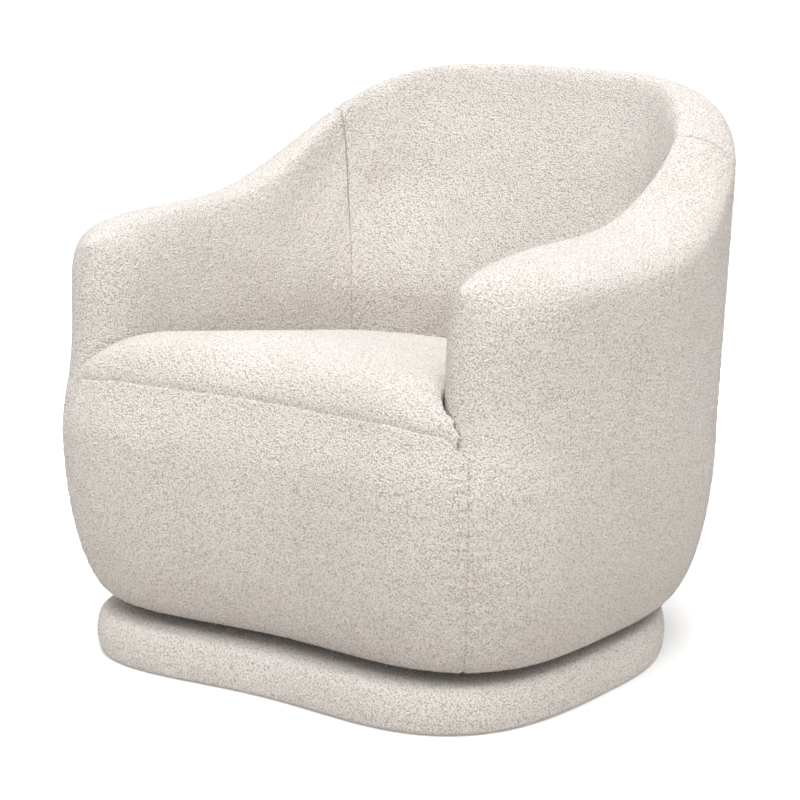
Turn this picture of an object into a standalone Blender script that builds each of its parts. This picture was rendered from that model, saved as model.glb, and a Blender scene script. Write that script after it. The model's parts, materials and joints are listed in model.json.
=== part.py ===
"""Upholstered swivel glider chair: a tub-shaped body hung on four links above a swivelling plinth.

Metres and radians. The front faces -Y, the sitter's left is +X and the floor is z = 0. Shapes are
worked out about the swivel axis, and one root empty then centres the whole chair on the origin.
"""
import math

import bmesh
import bpy
import numpy as np
from mathutils import Vector

# Clearances
GAP = 0.0003              # between faces that rest on each other
RUNNING = 0.0004          # radial room round a turning pin
SEAM_GAP = 0.0008         # between two sewn panels
SEAT_GAP = 0.0006         # between the seat and the arms and back round it
SLOT_GAP = 0.0012         # between a wall and the padding that is pulled over it
WAIST_GAP = 0.0009        # between the padding below the waist and what is above it
NOSE_GAP = 0.014          # along the outline, between the front panel's top corners and the arms' tips
BAR_CLEARANCE = 0.003     # between the turning bars and the plinth's top
STOP_CLEARANCE = 0.0005   # between a link at its limit and its bumper

# Body outline in plan, seen from above: a rounded shape with a hollow front
HALF_WIDTH = 0.400
FRONT_REACH = 0.3606
BACK_REACH = 0.4225
FRONT_POWER = 3.69
BACK_POWER = 2.487
FRONT_HOLLOW = 0.0367
HOLLOW_SPREAD = 0.2196

# Body heights and side view
BODY_GAP = 0.0135         # open gap between the body and the plinth
WAIST_HEIGHT = 0.308      # the fullest level, also the level of the seat deck
SIDE_TUCK = 0.0586        # how far the skin draws in below the waist
FRONT_TUCK = 0.0657
BACK_TUCK = 0.0739
BACK_LEAN = 0.170         # rearward lean of the back above the waist, per metre of height
ARM_HEIGHT = 0.587
BACK_HEIGHT = 0.755
RISE_START = -0.0477      # the rim climbs from the arms to the back between these two depths
RISE_END = 0.4371
RISE_TOE = 2.318
RISE_CROWN = 1.438

# Arms and back
ARM_WIDTH = 0.150
BACK_WIDTH = 0.129
RIM_DEPTH = 0.0513        # height of the rim's rounding outside
INNER_RIM_DEPTH = 0.122   # and on the sitter's side
TIP_RIDGE = 0.5           # place of the rim's ridge, as a share of the thickness from the outside
ARM_RIDGE = 0.717
BACK_RIDGE = 0.658
RIDGE_START_ANGLE = 1.2   # plan angles between which the one place turns into the other
RIDGE_END_ANGLE = 2.4
FLARE = 0.034             # by which the inside widens towards the back, above the seat
FLARE_LOW = 0.43          # heights between which it widens
FLARE_HIGH = 0.60
FLARE_END_ANGLE = 2.0
INNER_POWER = 3.373       # of the inside's plan at the back, where it has widened
LUMBAR = 0.035            # extra padding at the foot of the back
LUMBAR_HEIGHT = 0.427
LUMBAR_SPREAD = 0.5
NOSE_ANGLE = 0.748        # plan angle of the front seam and of the arm's tip
NOSE_END_ANGLE = 1.0
NOSE_DEPTH = 0.060
NOSE_POWER = 0.85         # below 1 makes the tip blunter
NOSE_DROP = 0.045
NOSE_RECESS = 0.021       # how far the front draws in from the waist up to the lumbar height
RECESS_END_ANGLE = 1.3    # plan angle where that fades out along the arm
SIDE_SEAM_ANGLE = 2.15

# Seat
SEAT_SEAM_HEIGHT = 0.394
SEAT_RISE = 0.045         # of the seat's front above its seam, before the crown
SEAT_LEVEL_DEPTH = -0.24
SEAT_SLOPE = 0.115
SEAT_CROWN = 0.016
SEAT_CENTRE_DEPTH = -0.17  # where the seat's rings of points centre
SEAT_FRONT_ROLL = 0.055
SEAT_SIDE_ROLL = 0.030
SEAT_SIDE_DIP = 0.014
SEAT_CORNER_ANGLE = 0.64  # plan angle beyond which the seat's front edge turns in round the arm's tip
SEAT_CORNER_TURN = 0.4    # share of the tip's quarter round that the seat leaves free
SEAT_CORNER_LENGTH = 0.11  # over which the front edge's roll fades out along the arm
SEAT_CORNER_DIP = 0.026   # of the front panel's top edge at the arm's tip

# Upholstery
COVER = 0.0025
HEM = 0.030
PAD_MINIMUM = 0.004       # padding left at the tightest place outside the walls
DUST_COVER = 0.0015

# Wooden frame
WALL = 0.015
WALL_TOP_PAD = 0.060
WALL_RISE_ANGLE = 0.95
BOARD = 0.022
OPENING_HALF_WIDTH = 0.176
OPENING_HALF_LENGTH = 0.212
RUNNER_HEIGHT = 0.062
RUNNER_LENGTH = 0.380
RUNNER_INSET = 0.0085
SPRING_RAIL_HEIGHT = 0.045
SPRING_RAIL_DEPTH = 0.030
SPRING_RAIL_ANGLE = 2.45

# Seat springs
SPRING_WIRE = 0.004
SPRING_PITCH = 0.095      # between springs
SPRING_COUNT = 4
SPRING_LOOP = 0.024       # half width of a loop
SPRING_WAVES = 9
SPRING_BAR = 0.28         # half length of a loop's straight side, as a share of a wave

# Plinth
PLINTH_HALF_WIDTH = 0.3556
PLINTH_FRONT = 0.3393
PLINTH_BACK = 0.3348
PLINTH_FRONT_POWER = 3.58
PLINTH_BACK_POWER = 2.31
PLINTH_HOLLOW = 0.0379
PLINTH_PAD = 0.029
PLINTH_SIDE_PAD = 0.018
PLINTH_TOP_ROUND = 0.014
PLINTH_FOOT_ROUND = 0.006
GLIDE_HEIGHT = 0.004
GLIDE_RADIUS = 0.022
GLIDE_CHAMFER = 0.0013
GLIDE_INSET = 0.075
GLIDE_ANGLES = (0.80, -0.80, 2.25, -2.25)

# Swivel
SWIVEL_OPENING = 0.150
LOWER_PLATE_RADIUS = 0.135
UPPER_PLATE_RADIUS = 0.130
LOWER_PLATE = 0.003
UPPER_PLATE = 0.004
RACE_OUTER = 0.090
RACE_INNER = 0.068
KING_PIN_RADIUS = 0.008
KING_PIN_HEAD_RADIUS = 0.015
KING_PIN_HEAD = 0.005
KING_PIN_RECESS = 0.001   # of the pin's foot inside the board's underside

# Glide linkage
BAR_SPREAD = 0.060        # of each cross bar from the swivel axis
BAR_WIDTH = 0.025
BAR_HEIGHT = 0.014
BRACKET_X = 0.146
BRACKET = 0.004
BRACKET_FOOT = 0.085
BRACKET_TOP_MARGIN = 0.016
BRACKET_END_MARGIN = 0.022
PIVOT_SPREAD = 0.110      # of each link from the swivel axis
LINK_LENGTH = 0.115       # between the pivots
LINK_HALF_WIDTH = 0.013
LINK = 0.005
LINK_SPACE = 0.006        # between bracket and link
RAIL_SPACE = 0.0025       # between link and rail
RAIL = 0.004
RAIL_FLANGE = 0.046
RAIL_LENGTH = 0.340
RAIL_FOOT_MARGIN = 0.0115
PIVOT_RADIUS = 0.006
PIVOT_SHOULDER = 0.009
PIVOT_HEAD = 0.0035
PIVOT_DROP = 0.0015       # between the pivot's head and the rail's flange
GLIDE_SWING = math.radians(28)
BUMPER_RADIUS = 0.008
BUMPER_DROP = 0.050       # of a bumper from the upper pivot

# Mesh density
ROUND_SIDES = 16
RING_SIDES = 32
NOSE_SHARES = (0.0, 0.13, 0.3, 0.5, 0.75)
ARM_STATIONS = 14
BACK_STATIONS = 21
FRONT_STATIONS = 17
PLINTH_STATIONS = 40
OUTLINE_STEPS = 4001      # for lengths along an outline
WELD = 1e-6
SMOOTH_ANGLE = math.radians(40)

# Heights that follow from the sizes above
PLINTH_BOARD_BOTTOM = GLIDE_HEIGHT + GAP
PLINTH_BOARD_TOP = PLINTH_BOARD_BOTTOM + BOARD
PLINTH_TOP = PLINTH_BOARD_TOP + GAP + PLINTH_PAD + GAP + COVER
PLINTH_FOOT = PLINTH_BOARD_BOTTOM - GAP - COVER
BODY_BOTTOM = PLINTH_TOP + BODY_GAP
BOARD_BOTTOM = BODY_BOTTOM + COVER + GAP
BOARD_TOP = BOARD_BOTTOM + BOARD
FLANGE_BOTTOM = BOARD_TOP + GAP
FLANGE_TOP = FLANGE_BOTTOM + RAIL
LOWER_PIVOT_HEIGHT = FLANGE_BOTTOM - PIVOT_SHOULDER - PIVOT_DROP
UPPER_PIVOT_HEIGHT = LOWER_PIVOT_HEIGHT + LINK_LENGTH
SEAT_HEIGHT = SEAT_SEAM_HEIGHT + SEAT_RISE
SPRING_TOP = WAIST_HEIGHT - GAP
WALL_FOOT = BOARD_TOP + GAP
DECK_TOP = SPRING_TOP - SPRING_WIRE - GAP
SLOT_FOOT = DECK_TOP - WALL
BAR_BOTTOM = PLINTH_TOP + BAR_CLEARANCE
LINK_X = BRACKET_X + BRACKET + LINK_SPACE
RAIL_X = LINK_X + LINK + RAIL_SPACE
SIDE_WALL_SETBACK = SIDE_TUCK + PAD_MINIMUM
FRONT_WALL_SETBACK = FRONT_TUCK + PAD_MINIMUM
BACK_WALL_SETBACK = BACK_TUCK + PAD_MINIMUM

SIDES = (("left", 1), ("right", -1))
ENDS = (("front", -1), ("rear", 1))

# Colour, roughness and metallic value of each finish
FINISHES = {
    "boucle": ((0.80, 0.765, 0.71), 0.95, 0.0),
    "foam": ((0.83, 0.79, 0.66), 0.9, 0.0),
    "plywood": ((0.62, 0.45, 0.28), 0.65, 0.0),
    "steel": ((0.10, 0.10, 0.105), 0.45, 0.8),
    "zinc": ((0.62, 0.63, 0.64), 0.35, 1.0),
    "spring_wire": ((0.33, 0.33, 0.34), 0.4, 1.0),
    "rubber": ((0.03, 0.03, 0.03), 0.85, 0.0),
    "nylon": ((0.06, 0.06, 0.06), 0.55, 0.0),
    "dust_cloth": ((0.02, 0.02, 0.022), 0.95, 0.0),
}


# Shape of the body

def signed_power(value, power):
    return np.sign(value) * np.abs(value) ** power


def smooth_step(value):
    value = np.clip(value, 0.0, 1.0)
    return value * value * (3.0 - 2.0 * value)


def rounded_plan(angle, half_width, front, back, front_power, back_power, hollow):
    """Points of a rounded plan: angle 0 is the front centre, a quarter turn is +X, a half turn the back."""
    sine, cosine = np.sin(angle), np.cos(angle)
    ahead = cosine > 0
    power = 2.0 / np.where(ahead, front_power, back_power)
    x = half_width * signed_power(sine, power)
    y = -np.where(ahead, front, back) * signed_power(cosine, power)
    reach = np.where(ahead, np.clip(-y / front, 0.0, 1.0) ** 2, 0.0)
    return x, y + hollow * np.exp(-(x / HOLLOW_SPREAD) ** 2) * reach


def body_plan(angle, side_inset, front_inset, back_inset):
    return rounded_plan(angle, HALF_WIDTH - side_inset, FRONT_REACH - front_inset, BACK_REACH - back_inset,
                        FRONT_POWER, BACK_POWER, FRONT_HOLLOW)


def lean(z):
    return BACK_LEAN * np.clip(z - WAIST_HEIGHT, 0.0, None)


def recess(angle, z):
    fade = 1.0 - smooth_step((np.abs(angle) - NOSE_ANGLE) / (RECESS_END_ANGLE - NOSE_ANGLE))
    return NOSE_RECESS * fade * np.clip((z - WAIST_HEIGHT) / (LUMBAR_HEIGHT - WAIST_HEIGHT), 0.0, 1.0)


def outer_plan(angle, z):
    """The skin's outside: drawn in below the waist on a quarter ellipse, leaning back above it."""
    depth = np.clip((WAIST_HEIGHT - z) / (WAIST_HEIGHT - BODY_BOTTOM), 0.0, 1.0)
    tuck = 1.0 - np.sqrt(1.0 - depth * depth)
    drawn_in = recess(angle, z)
    return body_plan(angle, SIDE_TUCK * tuck + drawn_in, FRONT_TUCK * tuck + drawn_in,
                     BACK_TUCK * tuck - lean(z))


def wall_plan(angle, z, depth):
    """A wall's face, at a depth behind its own outside, upright below the waist and leaning above it."""
    return body_plan(angle, SIDE_WALL_SETBACK + depth, FRONT_WALL_SETBACK + depth,
                     BACK_WALL_SETBACK + depth - lean(z))


def rim_height(angle):
    _, y = body_plan(angle, 0.0, 0.0, 0.0)
    share = np.clip((y - RISE_START) / (RISE_END - RISE_START), 0.0, 1.0)
    rise = share ** RISE_TOE / (share ** RISE_TOE + (1.0 - share) ** RISE_CROWN)
    closing = np.clip((NOSE_END_ANGLE - np.abs(angle)) / (NOSE_END_ANGLE - NOSE_ANGLE), 0.0, 1.0)
    drop = NOSE_DROP * (1.0 - np.sqrt(1.0 - closing * closing))
    return ARM_HEIGHT + (BACK_HEIGHT - ARM_HEIGHT) * rise - drop


def shoulder_height(angle):
    return rim_height(angle) - RIM_DEPTH


def inner_rim_depth(angle):
    """Height of the rim's rounding on the sitter's side, which grows from the arm's tip."""
    nose = smooth_step((np.abs(angle) - NOSE_ANGLE) / (NOSE_END_ANGLE - NOSE_ANGLE))
    return RIM_DEPTH + (INNER_RIM_DEPTH - RIM_DEPTH) * nose


def ridge_share(angle):
    """Place of the rim's ridge between outside and inside."""
    nose = smooth_step((np.abs(angle) - NOSE_ANGLE) / (NOSE_END_ANGLE - NOSE_ANGLE))
    turn = smooth_step((np.abs(angle) - RIDGE_START_ANGLE) / (RIDGE_END_ANGLE - RIDGE_START_ANGLE))
    return TIP_RIDGE + (ARM_RIDGE - TIP_RIDGE) * nose + (BACK_RIDGE - ARM_RIDGE) * turn


def inner_plan(angle, z):
    """The sitter's side of the arms and back: straight along the arms, closing round the arm's tip."""
    turn = np.abs(angle)
    flare = smooth_step((z - FLARE_LOW) / (FLARE_HIGH - FLARE_LOW))
    widening = FLARE * smooth_step((turn - NOSE_END_ANGLE) / (FLARE_END_ANGLE - NOSE_END_ANGLE))
    inside = HALF_WIDTH - ARM_WIDTH + widening * flare
    shoulder = shoulder_height(angle)
    fullness = 1.0 - smooth_step((z - LUMBAR_HEIGHT) / np.maximum(shoulder - LUMBAR_HEIGHT, WELD))
    fullness = fullness * smooth_step((turn - SIDE_SEAM_ANGLE) / LUMBAR_SPREAD)
    back = BACK_REACH + lean(np.maximum(z, LUMBAR_HEIGHT)) - BACK_WIDTH - LUMBAR * fullness
    power = 2.0 / (BACK_POWER + (INNER_POWER - BACK_POWER) * flare)
    back_x = inside * signed_power(np.sin(turn), power)
    back_y = -back * signed_power(np.cos(turn), power)
    tip_x, tip_y = outer_plan(np.full_like(turn, NOSE_ANGLE), z)
    _, end_y = body_plan(np.array([NOSE_END_ANGLE]), 0.0, 0.0, 0.0)
    _, outer_y = body_plan(turn, 0.0, 0.0, 0.0)
    quarter = np.clip((turn - NOSE_ANGLE) / (NOSE_END_ANGLE - NOSE_ANGLE), 0.0, 1.0) * math.pi / 2
    nose_y = tip_y + NOSE_DEPTH
    front_x = tip_x - (tip_x - inside) * np.sin(quarter) ** NOSE_POWER
    round_y = nose_y - NOSE_DEPTH * np.cos(quarter) ** NOSE_POWER
    straight_y = outer_y * nose_y / end_y[0]
    front_y = np.where(turn < NOSE_END_ANGLE, round_y, straight_y)
    x = np.where(turn > math.pi / 2, back_x, front_x)
    y = np.where(turn > math.pi / 2, back_y, front_y)
    return x * np.sign(angle), y


def stations(start, end, count):
    """Plan angles from start to end, evenly spaced along the waist."""
    dense = np.linspace(start, end, OUTLINE_STEPS)
    x, y = body_plan(dense, 0.0, 0.0, 0.0)
    length = np.concatenate([[0.0], np.cumsum(np.hypot(np.diff(x), np.diff(y)))])
    return np.interp(np.linspace(0.0, length[-1], count), length, dense)


def plan_turn(angle, length):
    """A short length along the waist as a change of plan angle, near the given angle."""
    step = 0.01
    x, y = body_plan(np.array([angle - step, angle + step]), 0.0, 0.0, 0.0)
    return length * 2 * step / math.hypot(x[1] - x[0], y[1] - y[0])


def front_angles():
    edge = NOSE_ANGLE - plan_turn(NOSE_ANGLE, SEAM_GAP / 2)
    return stations(-edge, edge, FRONT_STATIONS)


def arm_angles():
    """Stations of the left arm from its tip, where they lie closer, to the seam at the back."""
    tip = NOSE_ANGLE + np.array(NOSE_SHARES) * (NOSE_END_ANGLE - NOSE_ANGLE)
    end = SIDE_SEAM_ANGLE - plan_turn(SIDE_SEAM_ANGLE, SEAM_GAP / 2)
    return np.concatenate([tip, stations(NOSE_END_ANGLE, end, ARM_STATIONS - len(NOSE_SHARES))])


def side_angles():
    """The arm's stations, starting just behind the front seam."""
    return np.concatenate([[NOSE_ANGLE + plan_turn(NOSE_ANGLE, SEAM_GAP / 2)], arm_angles()[1:]])


def back_angles():
    start = SIDE_SEAM_ANGLE + plan_turn(SIDE_SEAM_ANGLE, SEAM_GAP / 2)
    half = stations(start, math.pi, BACK_STATIONS // 2 + 1)
    return np.concatenate([half, -half[-2::-1]])


def ring_angles():
    """Every panel's stations, once round the body."""
    return np.concatenate([front_angles(), side_angles(), back_angles(), -side_angles()[::-1]])


# Levels of the skin. 0 to 1 runs from the bottom edge to the waist, 1 to 2 to the shoulder,
# and 2 to 3 over the rounded rim to its ridge.

UPPER_LEVELS = (1.0, 1.4, 1.7, 2.0, 2.33, 2.67, 3.0)
LOWER_LEVELS = (0.0, 0.25, 0.5, 0.75)
LUMBAR_LEVEL = 1.4


def skin_row(angle, level, inside):
    """One level of the skin as points, on the outside or on the sitter's side."""
    depth = inner_rim_depth(angle) if inside else np.full_like(angle, RIM_DEPTH)
    shoulder = rim_height(angle) - depth
    if level > 2.0:
        turn = (level - 2.0) * math.pi / 2
        outer_x, outer_y = outer_plan(angle, shoulder_height(angle))
        inner_x, inner_y = inner_plan(angle, rim_height(angle) - inner_rim_depth(angle))
        bend = 1.0 - math.cos(turn)
        share = 1.0 - (1.0 - ridge_share(angle)) * bend if inside else ridge_share(angle) * bend
        x = outer_x + (inner_x - outer_x) * share
        y = outer_y + (inner_y - outer_y) * share
        return np.stack([x, y, shoulder + depth * math.sin(turn)], -1)
    if level < 1.0:
        z = WAIST_HEIGHT - (WAIST_HEIGHT - BODY_BOTTOM) * math.cos(level * math.pi / 2)
        z = np.full_like(angle, z)
    else:
        low = WAIST_HEIGHT + (LUMBAR_HEIGHT - WAIST_HEIGHT) * (level - 1.0) / (LUMBAR_LEVEL - 1.0)
        high = LUMBAR_HEIGHT + (shoulder - LUMBAR_HEIGHT) * (level - LUMBAR_LEVEL) / (2.0 - LUMBAR_LEVEL)
        z = high if level > LUMBAR_LEVEL else np.full_like(angle, low)
    x, y = inner_plan(angle, z) if inside else outer_plan(angle, z)
    return np.stack([x, y, z], -1)


def hem_row(angle):
    """The inner edge of the cloth that is turned under the body."""
    x, y = body_plan(angle, SIDE_TUCK + HEM, FRONT_TUCK + HEM, BACK_TUCK + HEM)
    return np.stack([x, y, np.full_like(x, BODY_BOTTOM)], -1)


# Mesh building

def grid_faces(rows, columns, start=0, closed=False):
    """Four-sided faces of a grid of points stored row by row."""
    faces = []
    for row in range(rows - 1):
        for column in range(columns if closed else columns - 1):
            beside = (column + 1) % columns
            low, high = start + row * columns, start + (row + 1) * columns
            faces.append((low + beside, high + beside, high + column, low + column))
    return faces


def weld(points, faces):
    """Joins points that coincide and drops faces that close up."""
    index, kept, order = {}, [], []
    for point in points:
        key = tuple(int(round(value / WELD)) for value in point)
        if key not in index:
            index[key] = len(kept)
            kept.append(point)
        order.append(index[key])
    joined = []
    for face in faces:
        corners = []
        for corner in face:
            if order[corner] not in corners:
                corners.append(order[corner])
        if len(corners) > 2:
            joined.append(tuple(corners))
    return np.array(kept), joined


def point_normals(points, faces):
    normals = np.zeros_like(points)
    for face in faces:
        corners = points[list(face)]
        middle = corners.mean(0)
        around = np.roll(corners, -1, 0)
        normal = np.cross(corners - middle, around - middle).sum(0)
        normals[list(face)] += normal
    return normals / np.linalg.norm(normals, axis=1)[:, None]


def border_edges(faces):
    """Edges that belong to one face only, in that face's direction."""
    seen = {}
    for face in faces:
        for here, there in zip(face, face[1:] + face[:1]):
            seen.setdefault((min(here, there), max(here, there)), []).append((here, there))
    return [uses[0] for uses in seen.values() if len(uses) == 1]


def flipped(face):
    """The face seen from its other side, split along the same diagonal."""
    return (face[0],) + tuple(reversed(face[1:]))


def split(faces):
    """Triangles from three- and four-sided faces, so that bent faces of two pieces bend alike."""
    triangles = []
    for face in faces:
        triangles += [(face[0], face[step], face[step + 1]) for step in range(1, len(face) - 1)]
    return triangles


def shell(points, faces, thickness):
    """A closed skin from a surface whose faces look outwards, thickened inwards."""
    points, faces = weld(points, faces)
    count = len(points)
    inner = points - thickness * point_normals(points, faces)
    closed = list(faces)
    closed += [tuple(corner + count for corner in flipped(face)) for face in faces]
    closed += [(there, here, here + count, there + count) for here, there in border_edges(faces)]
    return np.concatenate([points, inner]), closed


def moved_in(points, faces, depth):
    """The same points, moved inwards along the surface's own normals."""
    joined, kept_faces = weld(points, faces)
    inner = joined - depth * point_normals(joined, kept_faces)
    index = {tuple(int(round(v / WELD)) for v in point): place for point, place in zip(joined, inner)}
    return np.array([index[tuple(int(round(v / WELD)) for v in point)] for point in points])


def swept_loop(loops, closed=False, caps=None):
    """A closed section carried along a path. caps lists the faces of an end, by the section's corners."""
    loops = np.array(loops)
    count, size = loops.shape[:2]
    points = loops.reshape(-1, 3)
    faces = []
    for step in range(count if closed else count - 1):
        here, there = step * size, (step + 1) % count * size
        for corner in range(size):
            beside = (corner + 1) % size
            faces.append((there + corner, here + corner, here + beside, there + beside))
    if not closed:
        for cap in caps or [tuple(range(size))]:
            faces.append(cap)
            faces.append(tuple((count - 1) * size + corner for corner in cap))
    return points, faces


def filled_triangles(loops):
    """Triangles that fill the first loop and leave the other loops open, as indices into all points."""
    work = bmesh.new()
    edges = []
    for loop in loops:
        corners = [work.verts.new((u, v, 0.0)) for u, v in loop]
        edges += [work.edges.new((here, there)) for here, there in zip(corners, corners[1:] + corners[:1])]
    work.verts.index_update()
    bmesh.ops.triangle_fill(work, use_beauty=True, use_dissolve=False, edges=edges)
    triangles = [tuple(corner.index for corner in face.verts) for face in work.faces]
    work.free()
    return triangles


def plate(loops, place, thickness):
    """A flat plate with holes. place turns (u, v, depth) into a point."""
    flat = [corner for loop in loops for corner in loop]
    count = len(flat)
    triangles = filled_triangles(loops)
    points = [place(u, v, depth) for depth in (0.0, thickness) for u, v in flat]
    faces = list(triangles)
    faces += [tuple(corner + count for corner in triangle) for triangle in triangles]
    start = 0
    for loop in loops:
        for corner in range(len(loop)):
            here, there = start + corner, start + (corner + 1) % len(loop)
            faces.append((here, there, there + count, here + count))
        start += len(loop)
    return np.array(points), faces


def level_plate(loops, low, thickness):
    """A flat plate that lies level."""
    return plate(loops, lambda u, v, depth: (u, v, low + depth), thickness)


def turned(profile, place, sides):
    """A turned solid from (along, radius) points that start and end on the axis."""
    points = [place(profile[0][0], 0.0, 0.0)]
    for along, radius in profile[1:-1]:
        for step in range(sides):
            angle = 2 * math.pi * step / sides
            points.append(place(along, radius * math.cos(angle), radius * math.sin(angle)))
    points.append(place(profile[-1][0], 0.0, 0.0))
    rings, last = len(profile) - 2, len(points) - 1
    faces = grid_faces(rings, sides, 1, closed=True)
    final = 1 + (rings - 1) * sides
    for step in range(sides):
        beside = (step + 1) % sides
        faces.append((0, 1 + step, 1 + beside))
        faces.append((last, final + beside, final + step))
    return np.array(points), faces


def circle(u, v, radius, sides):
    turns = [2 * math.pi * step / sides for step in range(sides)]
    return [(u + radius * math.cos(turn), v + radius * math.sin(turn)) for turn in turns]


def box(low, high):
    """A plain block between two corners."""
    outline = [(low[0], low[1]), (high[0], low[1]), (high[0], high[1]), (low[0], high[1])]
    return level_plate([outline], low[2], high[2] - low[2])


# Objects

def clear_scene():
    for item in list(bpy.data.objects):
        bpy.data.objects.remove(item, do_unlink=True)


def finish_material(finish):
    found = bpy.data.materials.get(finish)
    if found:
        return found
    colour, roughness, metallic = FINISHES[finish]
    material = bpy.data.materials.new(finish)
    material.use_nodes = True
    shader = material.node_tree.nodes["Principled BSDF"]
    shader.inputs["Base Color"].default_value = (*colour, 1.0)
    shader.inputs["Roughness"].default_value = roughness
    shader.inputs["Metallic"].default_value = metallic
    return material


def axis_empty(name, where, parent=None):
    """An empty on a joint's axis; where is its place about the swivel axis."""
    empty = bpy.data.objects.new(name, None)
    bpy.context.collection.objects.link(empty)
    empty["where"] = where
    empty.location = Vector(where)
    if parent:
        empty.parent = parent
        empty.location = Vector(where) - Vector(parent["where"])
    return empty


def add_piece(name, geometry, finish, axis):
    """One sub-part as an object whose origin is its axis empty."""
    points, faces = weld(*geometry)
    mesh = bpy.data.meshes.new(name)
    mesh.from_pydata((points - np.array(axis["where"])).tolist(), [], faces)
    work = bmesh.new()
    work.from_mesh(mesh)
    wide = [face for face in work.faces if len(face.verts) > 4]
    bmesh.ops.triangulate(work, faces=wide)
    bmesh.ops.recalc_face_normals(work, faces=work.faces)
    work.to_mesh(mesh)
    work.free()
    mesh.shade_smooth()
    mesh.set_sharp_from_angle(angle=SMOOTH_ANGLE)
    mesh.materials.append(finish_material(finish))
    piece = bpy.data.objects.new(name, mesh)
    bpy.context.collection.objects.link(piece)
    piece.parent = axis
    return piece


def cut_away(piece, geometry, axis):
    """Takes a shape out of a piece with a hidden cutter."""
    cutter = add_piece(f"{piece.name}_cutter", geometry, "foam", axis)
    cutter.hide_render = True
    cutter.display_type = "WIRE"
    cut = piece.modifiers.new("cut", "BOOLEAN")
    cut.operation = "DIFFERENCE"
    cut.object = cutter


# Upholstery of the body

def skin_surface(angle, low_angle):
    """Skin from its hem over the rim to the seat deck. low_angle holds the stations below the waist."""
    rows = [hem_row(low_angle)] + [skin_row(low_angle, level, False) for level in LOWER_LEVELS]
    rows += [skin_row(angle, level, False) for level in UPPER_LEVELS]
    inside = [skin_row(angle, level, True) for level in UPPER_LEVELS]
    faces = grid_faces(len(rows), len(angle))
    inner_faces = grid_faces(len(inside), len(angle), len(rows) * len(angle))
    return np.concatenate(rows + inside), faces + [flipped(face) for face in inner_faces]


def front_surface():
    """The front panel's skin from its hem to the seat's seam, clear of the arms' tips above the waist."""
    angle = front_angles()
    rows = [hem_row(angle)] + [skin_row(angle, level, False) for level in LOWER_LEVELS]
    edge = NOSE_ANGLE - plan_turn(NOSE_ANGLE, NOSE_GAP)
    upper = np.clip(angle, -edge, edge)
    rows.append(skin_row(upper, 1.0, False))
    x, y = outer_plan(upper, np.full_like(upper, SEAT_SEAM_HEIGHT))
    corner = np.clip((np.abs(upper) - SEAT_CORNER_ANGLE) / (edge - SEAT_CORNER_ANGLE), 0.0, 1.0)
    rows.append(np.stack([x, y, SEAT_SEAM_HEIGHT - SEAM_GAP - SEAT_CORNER_DIP * corner], -1))
    return np.concatenate(rows), grid_faces(len(rows), FRONT_STATIONS)


def low_pad(angle):
    """Padding between the skin and a wall, from the bottom edge to the waist."""
    rows = [hem_row(angle)] + [skin_row(angle, level, False) for level in LOWER_LEVELS + (1.0,)]
    inner = moved_in(np.concatenate(rows), grid_faces(len(rows), len(angle)), COVER + GAP)
    inner = inner.reshape(len(rows), len(angle), 3)[1:]
    inner[-1, :, 2] = WAIST_HEIGHT - WAIST_GAP
    wall_x, wall_y = wall_plan(angle, WAIST_HEIGHT, -GAP)
    loops = []
    for column in range(len(angle)):
        loop = list(inner[:, column])
        loop += [(wall_x[column], wall_y[column], inner[row, column, 2]) for row in (-1, 0)]
        loops.append(loop)
    top, foot = len(inner), len(inner) + 1
    caps = [(row, row + 1, top) for row in range(top - 1)] + [(0, top, foot)]
    return swept_loop(loops, caps=caps)


def wall_panel(angle, top, clearance, foot):
    """A bent plywood panel along the given plan angles, grown by a clearance on each face."""
    low = np.full_like(angle, foot)
    middle = np.minimum(WAIST_HEIGHT, (low + top) / 2)
    rows = []
    for z in (top + clearance, middle, low):
        rows.append((wall_plan(angle, z, -clearance), wall_plan(angle, z, WALL + clearance), z))
    loops = []
    for column in range(len(angle)):
        outside = [(face[0][column], face[1][column], z[column]) for face, _, z in rows]
        inside = [(face[0][column], face[1][column], z[column]) for _, face, z in rows]
        loops.append(outside + inside[::-1])
    points, faces = swept_loop(loops, caps=[(0, 1, 4, 5), (1, 2, 3, 4)])
    return points, split(faces)


def back_wall_top(angle):
    return rim_height(angle) - WALL_TOP_PAD


def side_wall_top(angle):
    """The side walls stay under the seat deck at the arm's tip and rise inside the arm behind it."""
    return np.where(angle < WALL_RISE_ANGLE, DECK_TOP, back_wall_top(angle))


def upper_pad(points, faces, columns):
    """Padding above the waist just under a skin_surface, closed along the waist and at both ends."""
    rows = len(UPPER_LEVELS)
    skipped = 1 + len(LOWER_LEVELS)
    pad = moved_in(points, faces, COVER + GAP)[skipped * columns:]
    inside = rows * columns
    pad[:columns, 2] = WAIST_HEIGHT
    pad[inside:inside + columns, 2] = WAIST_HEIGHT
    pad_faces = grid_faces(rows, columns)
    pad_faces += [flipped(face) for face in grid_faces(rows, columns, inside)]
    for column in range(columns - 1):
        pad_faces.append((column, column + 1, inside + column + 1, inside + column))
    for column in (0, columns - 1):
        for row in range(rows - 1):
            here, there = row * columns + column, (row + 1) * columns + column
            pad_faces.append((here, there, inside + there, inside + here))
    return pad, split(pad_faces)


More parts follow.
